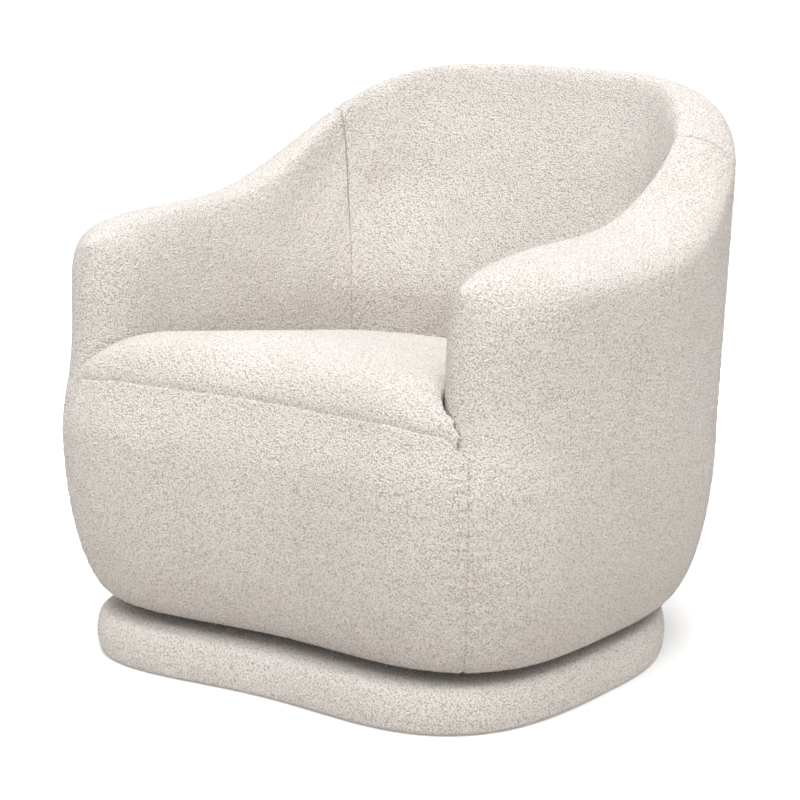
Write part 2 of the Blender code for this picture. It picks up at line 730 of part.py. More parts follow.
def build_arms(chair):
    points, faces = skin_surface(arm_angles(), side_angles())
    cover = shell(points, faces, COVER)
    padding = upper_pad(points, faces, ARM_STATIONS)
    angle = side_angles()
    low = low_pad(angle)
    wall = wall_panel(angle, side_wall_top(angle), 0.0, WALL_FOOT)
    beyond = np.append(angle, 2 * angle[-1] - angle[-2])
    slot = wall_panel(beyond, side_wall_top(beyond), SLOT_GAP, SLOT_FOOT)
    for side, sign in SIDES:
        turn = np.array([sign, 1.0, 1.0])
        add_piece(f"{side}_arm_cover", (cover[0] * turn, cover[1]), "boucle", chair)
        arm = add_piece(f"{side}_arm_foam", (padding[0] * turn, padding[1]), "foam", chair)
        cut_away(arm, (slot[0] * turn, slot[1]), chair)
        add_piece(f"{side}_wall", (wall[0] * turn, wall[1]), "plywood", chair)
        add_piece(f"{side}_side_foam", (low[0] * turn, low[1]), "foam", chair)


def build_back(chair):
    angle = back_angles()
    points, faces = skin_surface(angle, angle)
    add_piece("back_cover", shell(points, faces, COVER), "boucle", chair)
    back = add_piece("back_foam", upper_pad(points, faces, BACK_STATIONS), "foam", chair)
    beyond = np.concatenate([[2 * angle[0] - angle[1]], angle, [2 * angle[-1] - angle[-2]]])
    cut_away(back, wall_panel(beyond, back_wall_top(beyond), SLOT_GAP, SLOT_FOOT), chair)
    add_piece("back_wall", wall_panel(angle, back_wall_top(angle), 0.0, WALL_FOOT), "plywood", chair)
    add_piece("back_low_foam", low_pad(angle), "foam", chair)
    return points


def build_front(chair):
    points, faces = front_surface()
    add_piece("front_cover", shell(points, faces, COVER), "boucle", chair)
    angle = front_angles()
    add_piece("front_foam", low_pad(angle), "foam", chair)
    wall = wall_panel(angle, np.full_like(angle, DECK_TOP), 0.0, WALL_FOOT)
    add_piece("front_wall", wall, "plywood", chair)
    return points


def seat_edge():
    """The seat's outline from above, and the plan angles of its first points, along the front seam."""
    front = front_angles()
    front = front[np.abs(front) < SEAT_CORNER_ANGLE]
    x, y = outer_plan(front, np.full_like(front, SEAT_SEAM_HEIGHT))
    start = NOSE_ANGLE + SEAT_CORNER_TURN * (NOSE_END_ANGLE - NOSE_ANGLE)
    arm = arm_angles()
    arm = np.concatenate([[start], arm[arm > start]])
    turn = np.concatenate([arm, back_angles(), -arm[::-1]])
    inner_x, inner_y = inner_plan(turn, np.full_like(turn, WAIST_HEIGHT))
    loop = np.concatenate([np.stack([x, y], -1), np.stack([inner_x, inner_y], -1)])
    along = np.roll(loop, -1, 0) - np.roll(loop, 1, 0)
    inward = np.stack([-along[:, 1], along[:, 0]], -1) / np.linalg.norm(along, axis=1)[:, None]
    at_front = np.arange(len(loop)) < len(front)
    return loop + np.where(at_front, 0.0, SEAT_GAP)[:, None] * inward, front


SEAT_RINGS = (1.0, 0.97, 0.93, 0.88, 0.80, 0.55, 0.28)


def seat_surface():
    """The seat's crowned top, rolled down to its seam at the front and dipping along the arms and back."""
    edge, front = seat_edge()
    corner_x = edge[0, 0]
    away = np.linalg.norm(np.stack([np.abs(edge[:, 0]) + corner_x, edge[:, 1] - edge[0, 1]], -1), axis=1)
    forward = 1.0 - smooth_step(away / SEAT_CORNER_LENGTH)
    forward[:len(front)] = 1.0
    centre = np.array([0.0, SEAT_CENTRE_DEPTH])
    reach = np.linalg.norm(edge - centre, axis=1)
    roll = SEAT_SIDE_ROLL + (SEAT_FRONT_ROLL - SEAT_SIDE_ROLL) * forward
    rows = []
    for share in SEAT_RINGS:
        place = centre + share * (edge - centre)
        level = SEAT_HEIGHT - SEAT_SLOPE * np.maximum(place[:, 1] - SEAT_LEVEL_DEPTH, 0.0)
        into = np.clip(1.0 - (1.0 - share) * reach / roll, 0.0, 1.0)
        fall = SEAT_SIDE_DIP + (level - SEAT_SEAM_HEIGHT - SEAT_SIDE_DIP) * forward
        z = level + SEAT_CROWN * (1.0 - share ** 2) - fall * (1.0 - np.sqrt(1.0 - into ** 2))
        rows.append(np.concatenate([place, z[:, None]], axis=1))
    middle = SEAT_HEIGHT - SEAT_SLOPE * max(centre[1] - SEAT_LEVEL_DEPTH, 0.0) + SEAT_CROWN
    points = np.concatenate(rows + [np.array([[centre[0], centre[1], middle]])])
    count = len(edge)
    faces = grid_faces(len(SEAT_RINGS), count, closed=True)
    last = (len(SEAT_RINGS) - 1) * count
    faces += [(last + step, last + (step + 1) % count, len(points) - 1) for step in range(count)]
    return points, faces, count


def build_seat(chair):
    points, faces, count = seat_surface()
    add_piece("seat_cover", shell(points, faces, COVER), "boucle", chair)
    inner = moved_in(points, faces, COVER + SEAT_GAP)
    foot = inner[:count].copy()
    foot[:, 2] = WAIST_HEIGHT
    _, front = seat_edge()
    low = np.stack(outer_plan(front, np.full_like(front, WAIST_HEIGHT)), -1)
    high = np.stack(outer_plan(front, np.full_like(front, SEAT_SEAM_HEIGHT)), -1)
    foot[:len(front), :2] += low - high
    body = np.concatenate([inner, foot])
    start = len(inner)
    sides = [(start + step, start + (step + 1) % count, (step + 1) % count, step) for step in range(count)]
    bottom = [tuple(start + step for step in reversed(range(count)))]
    add_piece("seat_foam", (body, list(faces) + sides + bottom), "foam", chair)


# Wooden frame and springs

def opening_outline(growth):
    x, y = OPENING_HALF_WIDTH + growth, OPENING_HALF_LENGTH + growth
    return [(-x, -y), (x, -y), (x, y), (-x, y)]


def build_frame(chair):
    around = ring_angles()
    x, y = wall_plan(around, WAIST_HEIGHT, 0.0)
    add_piece("bottom_board", level_plate([list(zip(x, y)), opening_outline(0.0)], BOARD_BOTTOM, BOARD),
              "plywood", chair)
    inset = HEM + SEAM_GAP
    x, y = body_plan(around, SIDE_TUCK + inset, FRONT_TUCK + inset, BACK_TUCK + inset)
    low = BOARD_BOTTOM - GAP - DUST_COVER
    add_piece("dust_cover", level_plate([list(zip(x, y)), opening_outline(GAP)], low, DUST_COVER),
              "dust_cloth", chair)
    runner_x = RAIL_X + RUNNER_INSET
    for side, sign in SIDES:
        outer = RAIL_X + RAIL_FLANGE
        points, faces = box((runner_x, -RUNNER_LENGTH / 2, FLANGE_TOP + GAP),
                            (outer, RUNNER_LENGTH / 2, FLANGE_TOP + GAP + RUNNER_HEIGHT))
        add_piece(f"{side}_runner", (points * np.array([sign, 1.0, 1.0]), faces), "plywood", chair)
    angle = back_angles()
    angle = angle[np.abs(angle) > SPRING_RAIL_ANGLE]
    near = wall_plan(angle, WAIST_HEIGHT, WALL + GAP)
    far = wall_plan(angle, WAIST_HEIGHT, WALL + GAP + SPRING_RAIL_DEPTH)
    foot = DECK_TOP - SPRING_RAIL_HEIGHT
    loops = []
    for column in range(len(angle)):
        loops.append([(face[0][column], face[1][column], z)
                      for face, z in ((near, foot), (near, DECK_TOP), (far, DECK_TOP), (far, foot))])
    add_piece("rear_spring_rail", swept_loop(loops), "plywood", chair)


def rail_depth(x):
    """Depth of the middle of the rear spring rail at a given x."""
    angle = np.linspace(math.pi / 2, math.pi, OUTLINE_STEPS)
    rail_x, rail_y = wall_plan(angle, WAIST_HEIGHT, WALL + GAP + SPRING_RAIL_DEPTH / 2)
    return float(np.interp(abs(x), rail_x[::-1], rail_y[::-1]))


def front_wall_depth(x):
    angle = np.linspace(0.0, NOSE_ANGLE, OUTLINE_STEPS)
    wall_x, wall_y = wall_plan(angle, WAIST_HEIGHT, WALL / 2)
    return float(np.interp(abs(x), wall_x, wall_y))


def build_springs(chair):
    """Sinuous springs from the front wall's top edge to the rear spring rail."""
    z = DECK_TOP + GAP + SPRING_WIRE / 2
    for number in range(SPRING_COUNT):
        middle = SPRING_PITCH * (number - (SPRING_COUNT - 1) / 2)
        start, end = front_wall_depth(middle), rail_depth(middle)
        corners = [(middle, start)]
        wave = (end - start) / (SPRING_WAVES + 1)
        for step in range(SPRING_WAVES):
            side = SPRING_LOOP if step % 2 == 0 else -SPRING_LOOP
            for share in (1.0 - SPRING_BAR, 1.0 + SPRING_BAR):
                corners.append((middle + side, start + wave * (step + share)))
        corners.append((middle, end))
        curve = bpy.data.curves.new(f"seat_spring_{number + 1}", "CURVE")
        curve.dimensions = "3D"
        curve.bevel_depth = SPRING_WIRE / 2
        curve.bevel_resolution = 0
        curve.use_fill_caps = True
        spline = curve.splines.new("POLY")
        spline.points.add(len(corners) - 1)
        for point, (x, y) in zip(spline.points, corners):
            point.co = (*(Vector((x, y, z)) - Vector(chair["where"])), 1.0)
        curve.materials.append(finish_material("spring_wire"))
        spring = bpy.data.objects.new(curve.name, curve)
        bpy.context.collection.objects.link(spring)
        spring.parent = chair


# Plinth

def plinth_plan(angle, inset):
    return rounded_plan(angle, PLINTH_HALF_WIDTH - inset, PLINTH_FRONT - inset, PLINTH_BACK - inset,
                        PLINTH_FRONT_POWER, PLINTH_BACK_POWER, PLINTH_HOLLOW)


def plinth_stations():
    dense = np.linspace(0.0, 2 * math.pi, OUTLINE_STEPS)
    x, y = plinth_plan(dense, 0.0)
    length = np.concatenate([[0.0], np.cumsum(np.hypot(np.diff(x), np.diff(y)))])
    return np.interp(np.linspace(0.0, length[-1], PLINTH_STATIONS, endpoint=False), length, dense)


def plinth_surface(angle):
    """The plinth's skin from its hem, up the side and over the top to the swivel opening."""
    def ring(inset, z):
        x, y = plinth_plan(angle, inset)
        return np.stack([x, y, np.full_like(x, z)], -1)
    half = math.radians(45)
    rows = [ring(PLINTH_SIDE_PAD + HEM, PLINTH_FOOT), ring(PLINTH_FOOT_ROUND, PLINTH_FOOT)]
    bend = PLINTH_FOOT_ROUND * (1 - math.cos(half))
    rows.append(ring(bend, PLINTH_FOOT + bend))
    rows.append(ring(0.0, PLINTH_FOOT + PLINTH_FOOT_ROUND))
    rows.append(ring(0.0, PLINTH_TOP - PLINTH_TOP_ROUND))
    bend = PLINTH_TOP_ROUND * (1 - math.cos(half))
    rows.append(ring(bend, PLINTH_TOP - bend))
    rows.append(ring(PLINTH_TOP_ROUND, PLINTH_TOP))
    edge = rows[-1]
    around = np.arctan2(edge[:, 1], edge[:, 0])
    inner = np.stack([np.cos(around), np.sin(around)], -1) * SWIVEL_OPENING
    rows.append(np.concatenate([inner, np.full((len(angle), 1), PLINTH_TOP)], axis=1))
    return rows


def build_plinth(base):
    angle = plinth_stations()
    rows = plinth_surface(angle)
    points = np.concatenate(rows)
    faces = grid_faces(len(rows), PLINTH_STATIONS, closed=True)
    add_piece("base_cover", shell(points, faces, COVER), "boucle", base)
    inner = moved_in(points, faces, COVER + GAP).reshape(len(rows), PLINTH_STATIONS, 3)[2:]
    board_inset = COVER + GAP + PLINTH_SIDE_PAD + GAP
    board_x, board_y = plinth_plan(angle, board_inset - GAP)
    loops = []
    for column in range(PLINTH_STATIONS):
        loop = list(inner[:, column])
        opening = loop[-1]
        loop.append((opening[0], opening[1], PLINTH_BOARD_TOP + GAP))
        loop.append((board_x[column], board_y[column], PLINTH_BOARD_TOP + GAP))
        loop.append((board_x[column], board_y[column], PLINTH_BOARD_BOTTOM))
        loops.append(loop)
    add_piece("base_foam", swept_loop(loops, closed=True), "foam", base)
    x, y = plinth_plan(angle, board_inset)
    hole = circle(0.0, 0.0, KING_PIN_HEAD_RADIUS + RUNNING, ROUND_SIDES)
    board = level_plate([list(zip(x, y)), hole], PLINTH_BOARD_BOTTOM, BOARD)
    add_piece("base_board", board, "plywood", base)
    for number, turn in enumerate(GLIDE_ANGLES):
        centre_x, centre_y = plinth_plan(np.array([turn]), board_inset + GLIDE_INSET)
        edge = GLIDE_RADIUS - GLIDE_CHAMFER
        profile = [(0.0, 0.0), (0.0, edge), (GLIDE_CHAMFER, GLIDE_RADIUS), (GLIDE_HEIGHT, GLIDE_RADIUS),
                   (GLIDE_HEIGHT, 0.0)]
        glide = turned(profile, lambda along, u, v: (centre_x[0] + u, centre_y[0] + v, along), ROUND_SIDES)
        add_piece(f"floor_glide_{number + 1}", glide, "nylon", base)


# Swivel

def flat_ring(outer, inner, low, thickness):
    loops = [circle(0.0, 0.0, outer, RING_SIDES), circle(0.0, 0.0, inner, RING_SIDES)]
    return level_plate(loops, low, thickness)


def build_swivel(base, carriage):
    """Two plates on a ring bearing, held together by the king pin."""
    plate_low = PLINTH_BOARD_TOP + GAP
    race_low = plate_low + LOWER_PLATE + GAP
    upper_plate_low = BAR_BOTTOM - GAP - UPPER_PLATE
    race = (upper_plate_low - GAP - race_low - GAP) / 2
    pin_hole = KING_PIN_RADIUS + RUNNING
    lower_plate = flat_ring(LOWER_PLATE_RADIUS, pin_hole, plate_low, LOWER_PLATE)
    upper_plate = flat_ring(UPPER_PLATE_RADIUS, pin_hole, upper_plate_low, UPPER_PLATE)
    upper_race = flat_ring(RACE_OUTER, RACE_INNER, race_low + race + GAP, race)
    add_piece("swivel_lower_plate", lower_plate, "steel", base)
    add_piece("swivel_lower_race", flat_ring(RACE_OUTER, RACE_INNER, race_low, race), "zinc", base)
    add_piece("swivel_upper_race", upper_race, "zinc", carriage)
    add_piece("swivel_upper_plate", upper_plate, "steel", carriage)
    head_top = BAR_BOTTOM + KING_PIN_HEAD
    foot_low = PLINTH_BOARD_BOTTOM + KING_PIN_RECESS
    foot_top = plate_low - GAP
    profile = [(foot_low, 0.0), (foot_low, KING_PIN_HEAD_RADIUS),
               (foot_top, KING_PIN_HEAD_RADIUS), (foot_top, KING_PIN_RADIUS), (BAR_BOTTOM, KING_PIN_RADIUS),
               (BAR_BOTTOM, KING_PIN_HEAD_RADIUS), (head_top, KING_PIN_HEAD_RADIUS), (head_top, 0.0)]
    add_piece("king_pin", turned(profile, lambda along, u, v: (u, v, along), ROUND_SIDES), "zinc", carriage)


# Glide linkage

def stadium(first, second, radius, sides):
    """A bar's outline with round ends, from the first centre down to the second."""
    outline = []
    for centre, start in ((first, 0.0), (second, math.pi)):
        for step in range(sides // 2 + 1):
            angle = start + math.pi * step / (sides // 2)
            outline.append((centre[0] + radius * math.cos(angle), centre[1] + radius * math.sin(angle)))
    return outline


def pivot(y, z, sections, sign):
    """A headed pivot along X from (start, end, radius) sections that follow each other."""
    profile = [(sections[0][0], 0.0)]
    for start, end, radius in sections:
        profile += [(start, radius), (end, radius)]
    profile.append((sections[-1][1], 0.0))
    return turned(profile, lambda along, u, v: (sign * along, y + u, z + v), ROUND_SIDES)


def pivot_hole(y, z):
    return circle(y, z, PIVOT_RADIUS + RUNNING, ROUND_SIDES)


def build_carriage(carriage):
    bar_end = BRACKET_X - GAP
    for end, way in ENDS:
        middle = way * BAR_SPREAD
        bar = box((-bar_end, middle - BAR_WIDTH / 2, BAR_BOTTOM),
                  (bar_end, middle + BAR_WIDTH / 2, BAR_BOTTOM + BAR_HEIGHT))
        add_piece(f"{end}_cross_bar", bar, "steel", carriage)
    top = UPPER_PIVOT_HEIGHT + BRACKET_TOP_MARGIN
    reach = PIVOT_SPREAD + BRACKET_END_MARGIN
    ear = UPPER_PIVOT_HEIGHT - BRACKET_TOP_MARGIN
    outline = [(-BRACKET_FOOT, BAR_BOTTOM), (BRACKET_FOOT, BAR_BOTTOM), (reach, ear), (reach, top),
               (-reach, top), (-reach, ear)]
    holes = [pivot_hole(way * PIVOT_SPREAD, UPPER_PIVOT_HEIGHT) for _, way in ENDS]
    bumper_reach = LINK_HALF_WIDTH + BUMPER_RADIUS + STOP_CLEARANCE
    bumper_angle = GLIDE_SWING + math.asin(bumper_reach / BUMPER_DROP)
    face = BRACKET_X + BRACKET
    sections = [(BRACKET_X - GAP - PIVOT_HEAD, BRACKET_X - GAP, PIVOT_SHOULDER),
                (BRACKET_X - GAP, face + GAP, PIVOT_RADIUS),
                (face + GAP, LINK_X - GAP, PIVOT_SHOULDER),
                (LINK_X - GAP, LINK_X + LINK + GAP, PIVOT_RADIUS),
                (LINK_X + LINK + GAP, LINK_X + LINK + GAP + PIVOT_HEAD, PIVOT_SHOULDER)]
    for side, sign in SIDES:
        def place(u, v, depth):
            return (sign * (BRACKET_X + depth), u, v)
        add_piece(f"{side}_bracket", plate([outline] + holes, place, BRACKET), "steel", carriage)
        for end, way in ENDS:
            upper = pivot(way * PIVOT_SPREAD, UPPER_PIVOT_HEIGHT, sections, sign)
            add_piece(f"upper_pivot_{end}_{side}", upper, "zinc", carriage)
            y = way * (PIVOT_SPREAD - BUMPER_DROP * math.sin(bumper_angle))
            z = UPPER_PIVOT_HEIGHT - BUMPER_DROP * math.cos(bumper_angle)
            bumper = pivot(y, z, [(face + GAP, LINK_X + LINK, BUMPER_RADIUS)], sign)
            add_piece(f"bumper_{end}_{side}", bumper, "rubber", carriage)


def build_links(axes):
    for end, way in ENDS:
        y = way * PIVOT_SPREAD
        outline = stadium((y, UPPER_PIVOT_HEIGHT), (y, LOWER_PIVOT_HEIGHT), LINK_HALF_WIDTH, ROUND_SIDES)
        holes = [pivot_hole(y, z) for z in (UPPER_PIVOT_HEIGHT, LOWER_PIVOT_HEIGHT)]
        for side, sign in SIDES:
            def place(u, v, depth):
                return (sign * (LINK_X + depth), u, v)
            add_piece(f"link_{end}_{side}", plate([outline] + holes, place, LINK), "steel", axes[end])


def build_rails(chair):
    """Angle rails under the runners, with the links' lower pivots."""
    half = RAIL_LENGTH / 2
    foot = LOWER_PIVOT_HEIGHT - RAIL_FOOT_MARGIN
    web, tip = RAIL_X + RAIL, RAIL_X + RAIL_FLANGE
    section = [(RAIL_X, foot), (web, foot), (web, FLANGE_BOTTOM), (tip, FLANGE_BOTTOM), (tip, FLANGE_TOP),
               (RAIL_X, FLANGE_TOP)]
    sections = [(LINK_X - GAP - PIVOT_HEAD, LINK_X - GAP, PIVOT_SHOULDER),
                (LINK_X - GAP, LINK_X + LINK + GAP, PIVOT_RADIUS),
                (LINK_X + LINK + GAP, RAIL_X - GAP, PIVOT_SHOULDER),
                (RAIL_X - GAP, web + GAP, PIVOT_RADIUS),
                (web + GAP, web + GAP + PIVOT_HEAD, PIVOT_SHOULDER)]
    for side, sign in SIDES:
        loops = [[(sign * x, y, z) for x, z in section] for y in (-half, half)]
        rail = add_piece(f"{side}_rail", swept_loop(loops), "steel", chair)
        holes = []
        for end, way in ENDS:
            lower = pivot(way * PIVOT_SPREAD, LOWER_PIVOT_HEIGHT, sections, sign)
            add_piece(f"lower_pivot_{end}_{side}", lower, "zinc", chair)
            bore = [(RAIL_X - RAIL, web + RAIL, PIVOT_RADIUS + RUNNING)]
            holes.append(pivot(way * PIVOT_SPREAD, LOWER_PIVOT_HEIGHT, bore, sign))
        first, second = holes
        joined = [tuple(corner + len(first[0]) for corner in face) for face in second[1]]
        cut_away(rail, (np.concatenate([first[0], second[0]]), first[1] + joined), chair)


def main():
    clear_scene()
    base = axis_empty("base_axis", (0.0, 0.0, 0.0))
    carriage = axis_empty("swivel_axis", (0.0, 0.0, 0.0), base)
    front = axis_empty("front_link_axis", (0.0, -PIVOT_SPREAD, UPPER_PIVOT_HEIGHT), carriage)
    rear = axis_empty("rear_link_axis", (0.0, PIVOT_SPREAD, UPPER_PIVOT_HEIGHT), carriage)
    chair = axis_empty("chair_axis", (0.0, -PIVOT_SPREAD, LOWER_PIVOT_HEIGHT), front)
    build_plinth(base)
    build_swivel(base, carriage)
    build_carriage(carriage)
    build_links({"front": front, "rear": rear})
    build_rails(chair)
    build_frame(chair)
    build_springs(chair)
    build_arms(chair)
    back_skin = build_back(chair)
    front_skin = build_front(chair)
    build_seat(chair)
    base.location.y = -(front_skin[:, 1].min() + back_skin[:, 1].max()) / 2


main()
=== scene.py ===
"""Looks of the swivel glider chair: boucle upholstery, plinth, frame finishes, studio and camera.

Metres. The front faces -Y, the sitter's left is +X and the floor is z = 0. The upholstery repeats the
outline laws of the solids at a fine pitch, worked out about the swivel axis and then moved to its place.
"""
import json
import math

import bpy
import numpy as np
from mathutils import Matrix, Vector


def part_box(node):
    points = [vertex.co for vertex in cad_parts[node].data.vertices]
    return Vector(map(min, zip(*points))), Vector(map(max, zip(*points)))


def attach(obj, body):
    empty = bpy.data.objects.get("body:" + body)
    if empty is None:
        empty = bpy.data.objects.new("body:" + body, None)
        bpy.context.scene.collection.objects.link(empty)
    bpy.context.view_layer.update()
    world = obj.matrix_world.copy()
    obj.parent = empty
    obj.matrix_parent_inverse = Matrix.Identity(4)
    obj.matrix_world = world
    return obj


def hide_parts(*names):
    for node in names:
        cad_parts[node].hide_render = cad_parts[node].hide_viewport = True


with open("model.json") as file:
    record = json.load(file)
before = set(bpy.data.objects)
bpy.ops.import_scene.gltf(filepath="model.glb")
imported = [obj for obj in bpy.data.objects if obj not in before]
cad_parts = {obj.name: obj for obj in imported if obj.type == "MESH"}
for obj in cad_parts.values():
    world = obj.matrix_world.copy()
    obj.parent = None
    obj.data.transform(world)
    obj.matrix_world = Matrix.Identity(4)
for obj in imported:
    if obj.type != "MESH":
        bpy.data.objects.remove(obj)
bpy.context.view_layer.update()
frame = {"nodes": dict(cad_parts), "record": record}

# Outline of the body in plan
HALF_WIDTH = 0.400
FRONT_REACH = 0.3606
BACK_REACH = 0.4225
FRONT_POWER = 3.69
BACK_POWER = 2.487
FRONT_HOLLOW = 0.0367
HOLLOW_SPREAD = 0.2196

# Heights and side view
PLINTH_TOP = 0.0584
PLINTH_FOOT = 0.0015
BODY_BOTTOM = 0.0719
WAIST_HEIGHT = 0.308
SIDE_TUCK = 0.0586
FRONT_TUCK = 0.0657
BACK_TUCK = 0.0739
BACK_LEAN = 0.170
ARM_HEIGHT = 0.587
BACK_HEIGHT = 0.755
RISE_START = -0.0477
RISE_END = 0.4371
RISE_TOE = 2.318
RISE_CROWN = 1.438

# Arms and back
ARM_WIDTH = 0.150
BACK_WIDTH = 0.129
RIM_DEPTH = 0.0513
INNER_RIM_DEPTH = 0.122  # of the rim's rounding on the sitter's side
RIM_SLOPE_STEP = 0.005  # height over which the wall's slope below the rim is taken
TIP_RIDGE = 0.5  # place of the rim's ridge, as a share of the thickness from the outside
ARM_RIDGE = 0.717
BACK_RIDGE = 0.658
RIDGE_START_ANGLE = 1.2
RIDGE_END_ANGLE = 2.4
FLARE = 0.034  # by which the inside widens towards the back, above the seat
FLARE_LOW = 0.43
FLARE_HIGH = 0.60
FLARE_END_ANGLE = 2.0
INNER_POWER = 3.373
LUMBAR = 0.035
LUMBAR_HEIGHT = 0.427
LUMBAR_SPREAD = 0.5
NOSE_ANGLE = 0.748
NOSE_END_ANGLE = 1.0
NOSE_DEPTH = 0.052
NOSE_POWER = 0.85
NOSE_DROP = 0.045
NOSE_RECESS = 0.021
RECESS_END_ANGLE = 1.3
SIDE_SEAM_ANGLE = 2.15
NOSE_SOFTENING = 0.090  # reach of the rounding at the arm's tip
NOSE_FADE = 0.05  # height over the waist in which that rounding sets in
NOSE_ROUNDS = 60  # smoothing passes there
NOSE_INWARD = 0.003  # shift of the rounded tip towards the seat
TIP_SOFTENING = 0.050  # reach of the rounding at the tip's top
TIP_ROUNDS = 25

# Rows of the shaping grids
HEM_SHARES = (1.0, 0.66, 0.33)
LOW_ROWS = 25  # from the bottom edge to the waist
ARM_ROWS = 26  # from the waist to the shoulder
BACK_ROWS = 38
FRONT_ROWS = 10  # from the waist to the seat's seam
RIM_ROWS = 10
LINING_ROWS = 4.0  # over which the lining goes from thin to full
ARC_STEPS = 4001  # of the curves that rows are spaced along

# Seat
SEAM_HEIGHT = 0.394
SEAT_HEIGHT = 0.439
SEAT_LEVEL_DEPTH = -0.24
SEAT_SLOPE = 0.150
SEAT_CROWN = 0.014
SEAT_CENTRE_DEPTH = -0.17
SEAT_FRONT_ROLL = 0.060
SEAT_SIDE_ROLL = 0.034
SEAT_SIDE_DIP = 0.016
SEAT_PRESS = 0.008  # by which the cushion presses into the arms and back
SEAT_CORNER_LENGTH = 0.07
SEAT_CORNER_ROLL = 0.090  # more rounding at the front corners
SEAT_CORNER_ANGLE = 0.735  # plan angle where the seat's front edge meets the arm's tip
SEAT_SIDE_START = 0.12  # share of the arm's tip after which the seat's side edge begins
SEAT_OUTLINE_HEIGHT = WAIST_HEIGHT + 0.5 * (LUMBAR_HEIGHT - WAIST_HEIGHT)
SEAT_FOOT = WAIST_HEIGHT + 0.002
SEAT_SKIRT = ((0.006, 0.2), (0.012, 0.5), (0.014, 1.0))  # insets down its hidden sides, and shares of height
SEAT_RINGS = 30
SEAT_RING_POWER = 1.6  # draws the rings together at the edge
SEAT_HELD_RISE = 0.15  # the skin is held where its normal rises less than this
SEAT_EVENING = 0.5  # strength of the passes that even the top out
SEAT_EVENING_ROUNDS = 3
FRONT_SAG = 0.009  # of the front seam towards the arms
SAG_START_ANGLE = 0.30
DIP_START_ANGLE = 0.62  # plan angle where the seam turns down along the arm's tip
DIP = 0.026

# Plinth
PLINTH_HALF_WIDTH = 0.3556
PLINTH_FRONT = 0.3393
PLINTH_BACK = 0.3348
PLINTH_FRONT_POWER = 3.58
PLINTH_BACK_POWER = 2.31
PLINTH_HOLLOW = 0.0379
PLINTH_TOP_ROUND = 0.014
PLINTH_FOOT_ROUND = 0.006
PLINTH_HEM_INSETS = (0.048, 0.034, 0.020)  # of the rows turned under
PLINTH_FOOT_TURNS = (0.0, 30.0, 60.0, 90.0)  # degrees
PLINTH_TOP_TURNS = (0.0, 22.5, 45.0, 67.5, 90.0)
PLINTH_SIDE_SHARES = (0.25, 0.5, 0.75)
PLINTH_BULGE = 0.0022  # of the padded side
PLINTH_TOP_ROWS = 12
PLINTH_LINING = 0.0023  # thickness at the hem
PLINTH_LINING_START = 5.0  # row where the padding begins
PLINTH_WADDING = 0.006
SWIVEL_OPENING = 0.150

# Dust cloth under the body
DUST_HEIGHT = 0.0729
DUST_CLOTH = 0.0012
DUST_PITCH = 0.012
DUST_CLEARANCE = 0.0008  # from the turned hem
DUST_SAG = 0.016  # as a share of the span between its edges
DUST_WRINKLE = 0.0005
DUST_WAVES = 23.0  # wrinkles once round
DUST_SLANT = 5.0  # radians that they turn from the opening to the edge
DUST_ROWS = 13
OPENING_HALF_WIDTH = 0.176
OPENING_HALF_LENGTH = 0.212

# Cloth
HEM = 0.030
PITCH = 0.010  # of the shaping grid
WADDING = 0.010  # thickness of cover and wadding together
SKIN_FILL = 0.9
SEAT_FILL = 0.8
PLINTH_FILL = 0.95
COVER = 0.0025
SEAM_DEPTH = 0.0016  # how far a seam draws the cloth in
SEAT_SEAM_DEPTH = 0.0045
SEAM_WIDTH = 0.0028
PUCKER = 0.0007
PUCKER_LENGTH = 0.017
PUCKER_REACH = 0.022
PUCKER_DRIFT = 1.3  # unevenness of the puckers' spacing
PUCKER_DRIFT_RATE = 0.37
NUB = 0.0056  # spacing of the boucle's clumps of loops
NUB_HEIGHT = 0.0010
NUB_WAVE = 3.1  # length of the bends in the rows of loops, in spacings
NUB_BEND = 0.3  # and their depth
NUB_PHASES = (0.3, 1.7, 2.9)
NUB_SMALLEST = 0.62  # size of the smallest loop heads, the largest being 1
NUB_REACH = 0.95  # radius of a head of size 1, in spacings
CELL_PRIMES = (73856093, 19349663, 83492791)  # of the random numbers for each loop
CELL_STEP = 374761393
CELL_MIXERS = ((15, 2246822519), (13, 3266489917))
CELL_LAST_SHIFT = 16
SWELL_START = 0.003  # the padding starts this much smaller and swells
SWELL_CAP = 0.004
SEAT_SWELL_CAP = 0.006
FOAM_GIVE = 0.0005  # by which the cloth can press into the foam
SWELL_ROUNDS = 25  # passes that even the swelling out
SWELL_PRESSURE = 4.0
SWELL_FRAMES = 20
SWELL_QUALITY = 6
CLOTH_STRETCH = 20.0
CLOTH_SHEAR = 8.0
CLOTH_BEND = 4.0
VOXEL = 0.005  # pitch of the seat's mesh before it is refined

# Boucle
WARP_SCALE = 520.0
WARP_DEPTH = 0.0015
LOOP_SCALE = 440.0
YARN_SCALE = 900.0
LOOP_SMOOTHNESS = 0.15
FIBRE_SCALE = 1500.0
PATCH_SCALE = 9.0
# Tones over the loops' distance field: the yarn's ivory on the heads, then painted shade that darkens the
# hollows between them
BOUCLE_TONES_WITH_PAINTED_SHADE = ((0.10, (0.95, 0.90, 0.86)), (0.45, (0.88, 0.825, 0.78)), (0.78, (0.55, 0.497, 0.455)))
PATCH_TONES = ((0.35, (0.955, 0.95, 0.94)), (0.65, (1.0, 1.0, 1.0)))
BOUCLE_ROUGHNESS = (0.86, 1.0)
BOUCLE_RELIEF = 0.0040
YARN_RELIEF = 0.4  # as a share of the loops' relief
FIBRE_RELIEF = 0.25
SHEEN = 0.22
SHEEN_ROUGHNESS = 0.55
BOUCLE_SPECULAR = 0.2

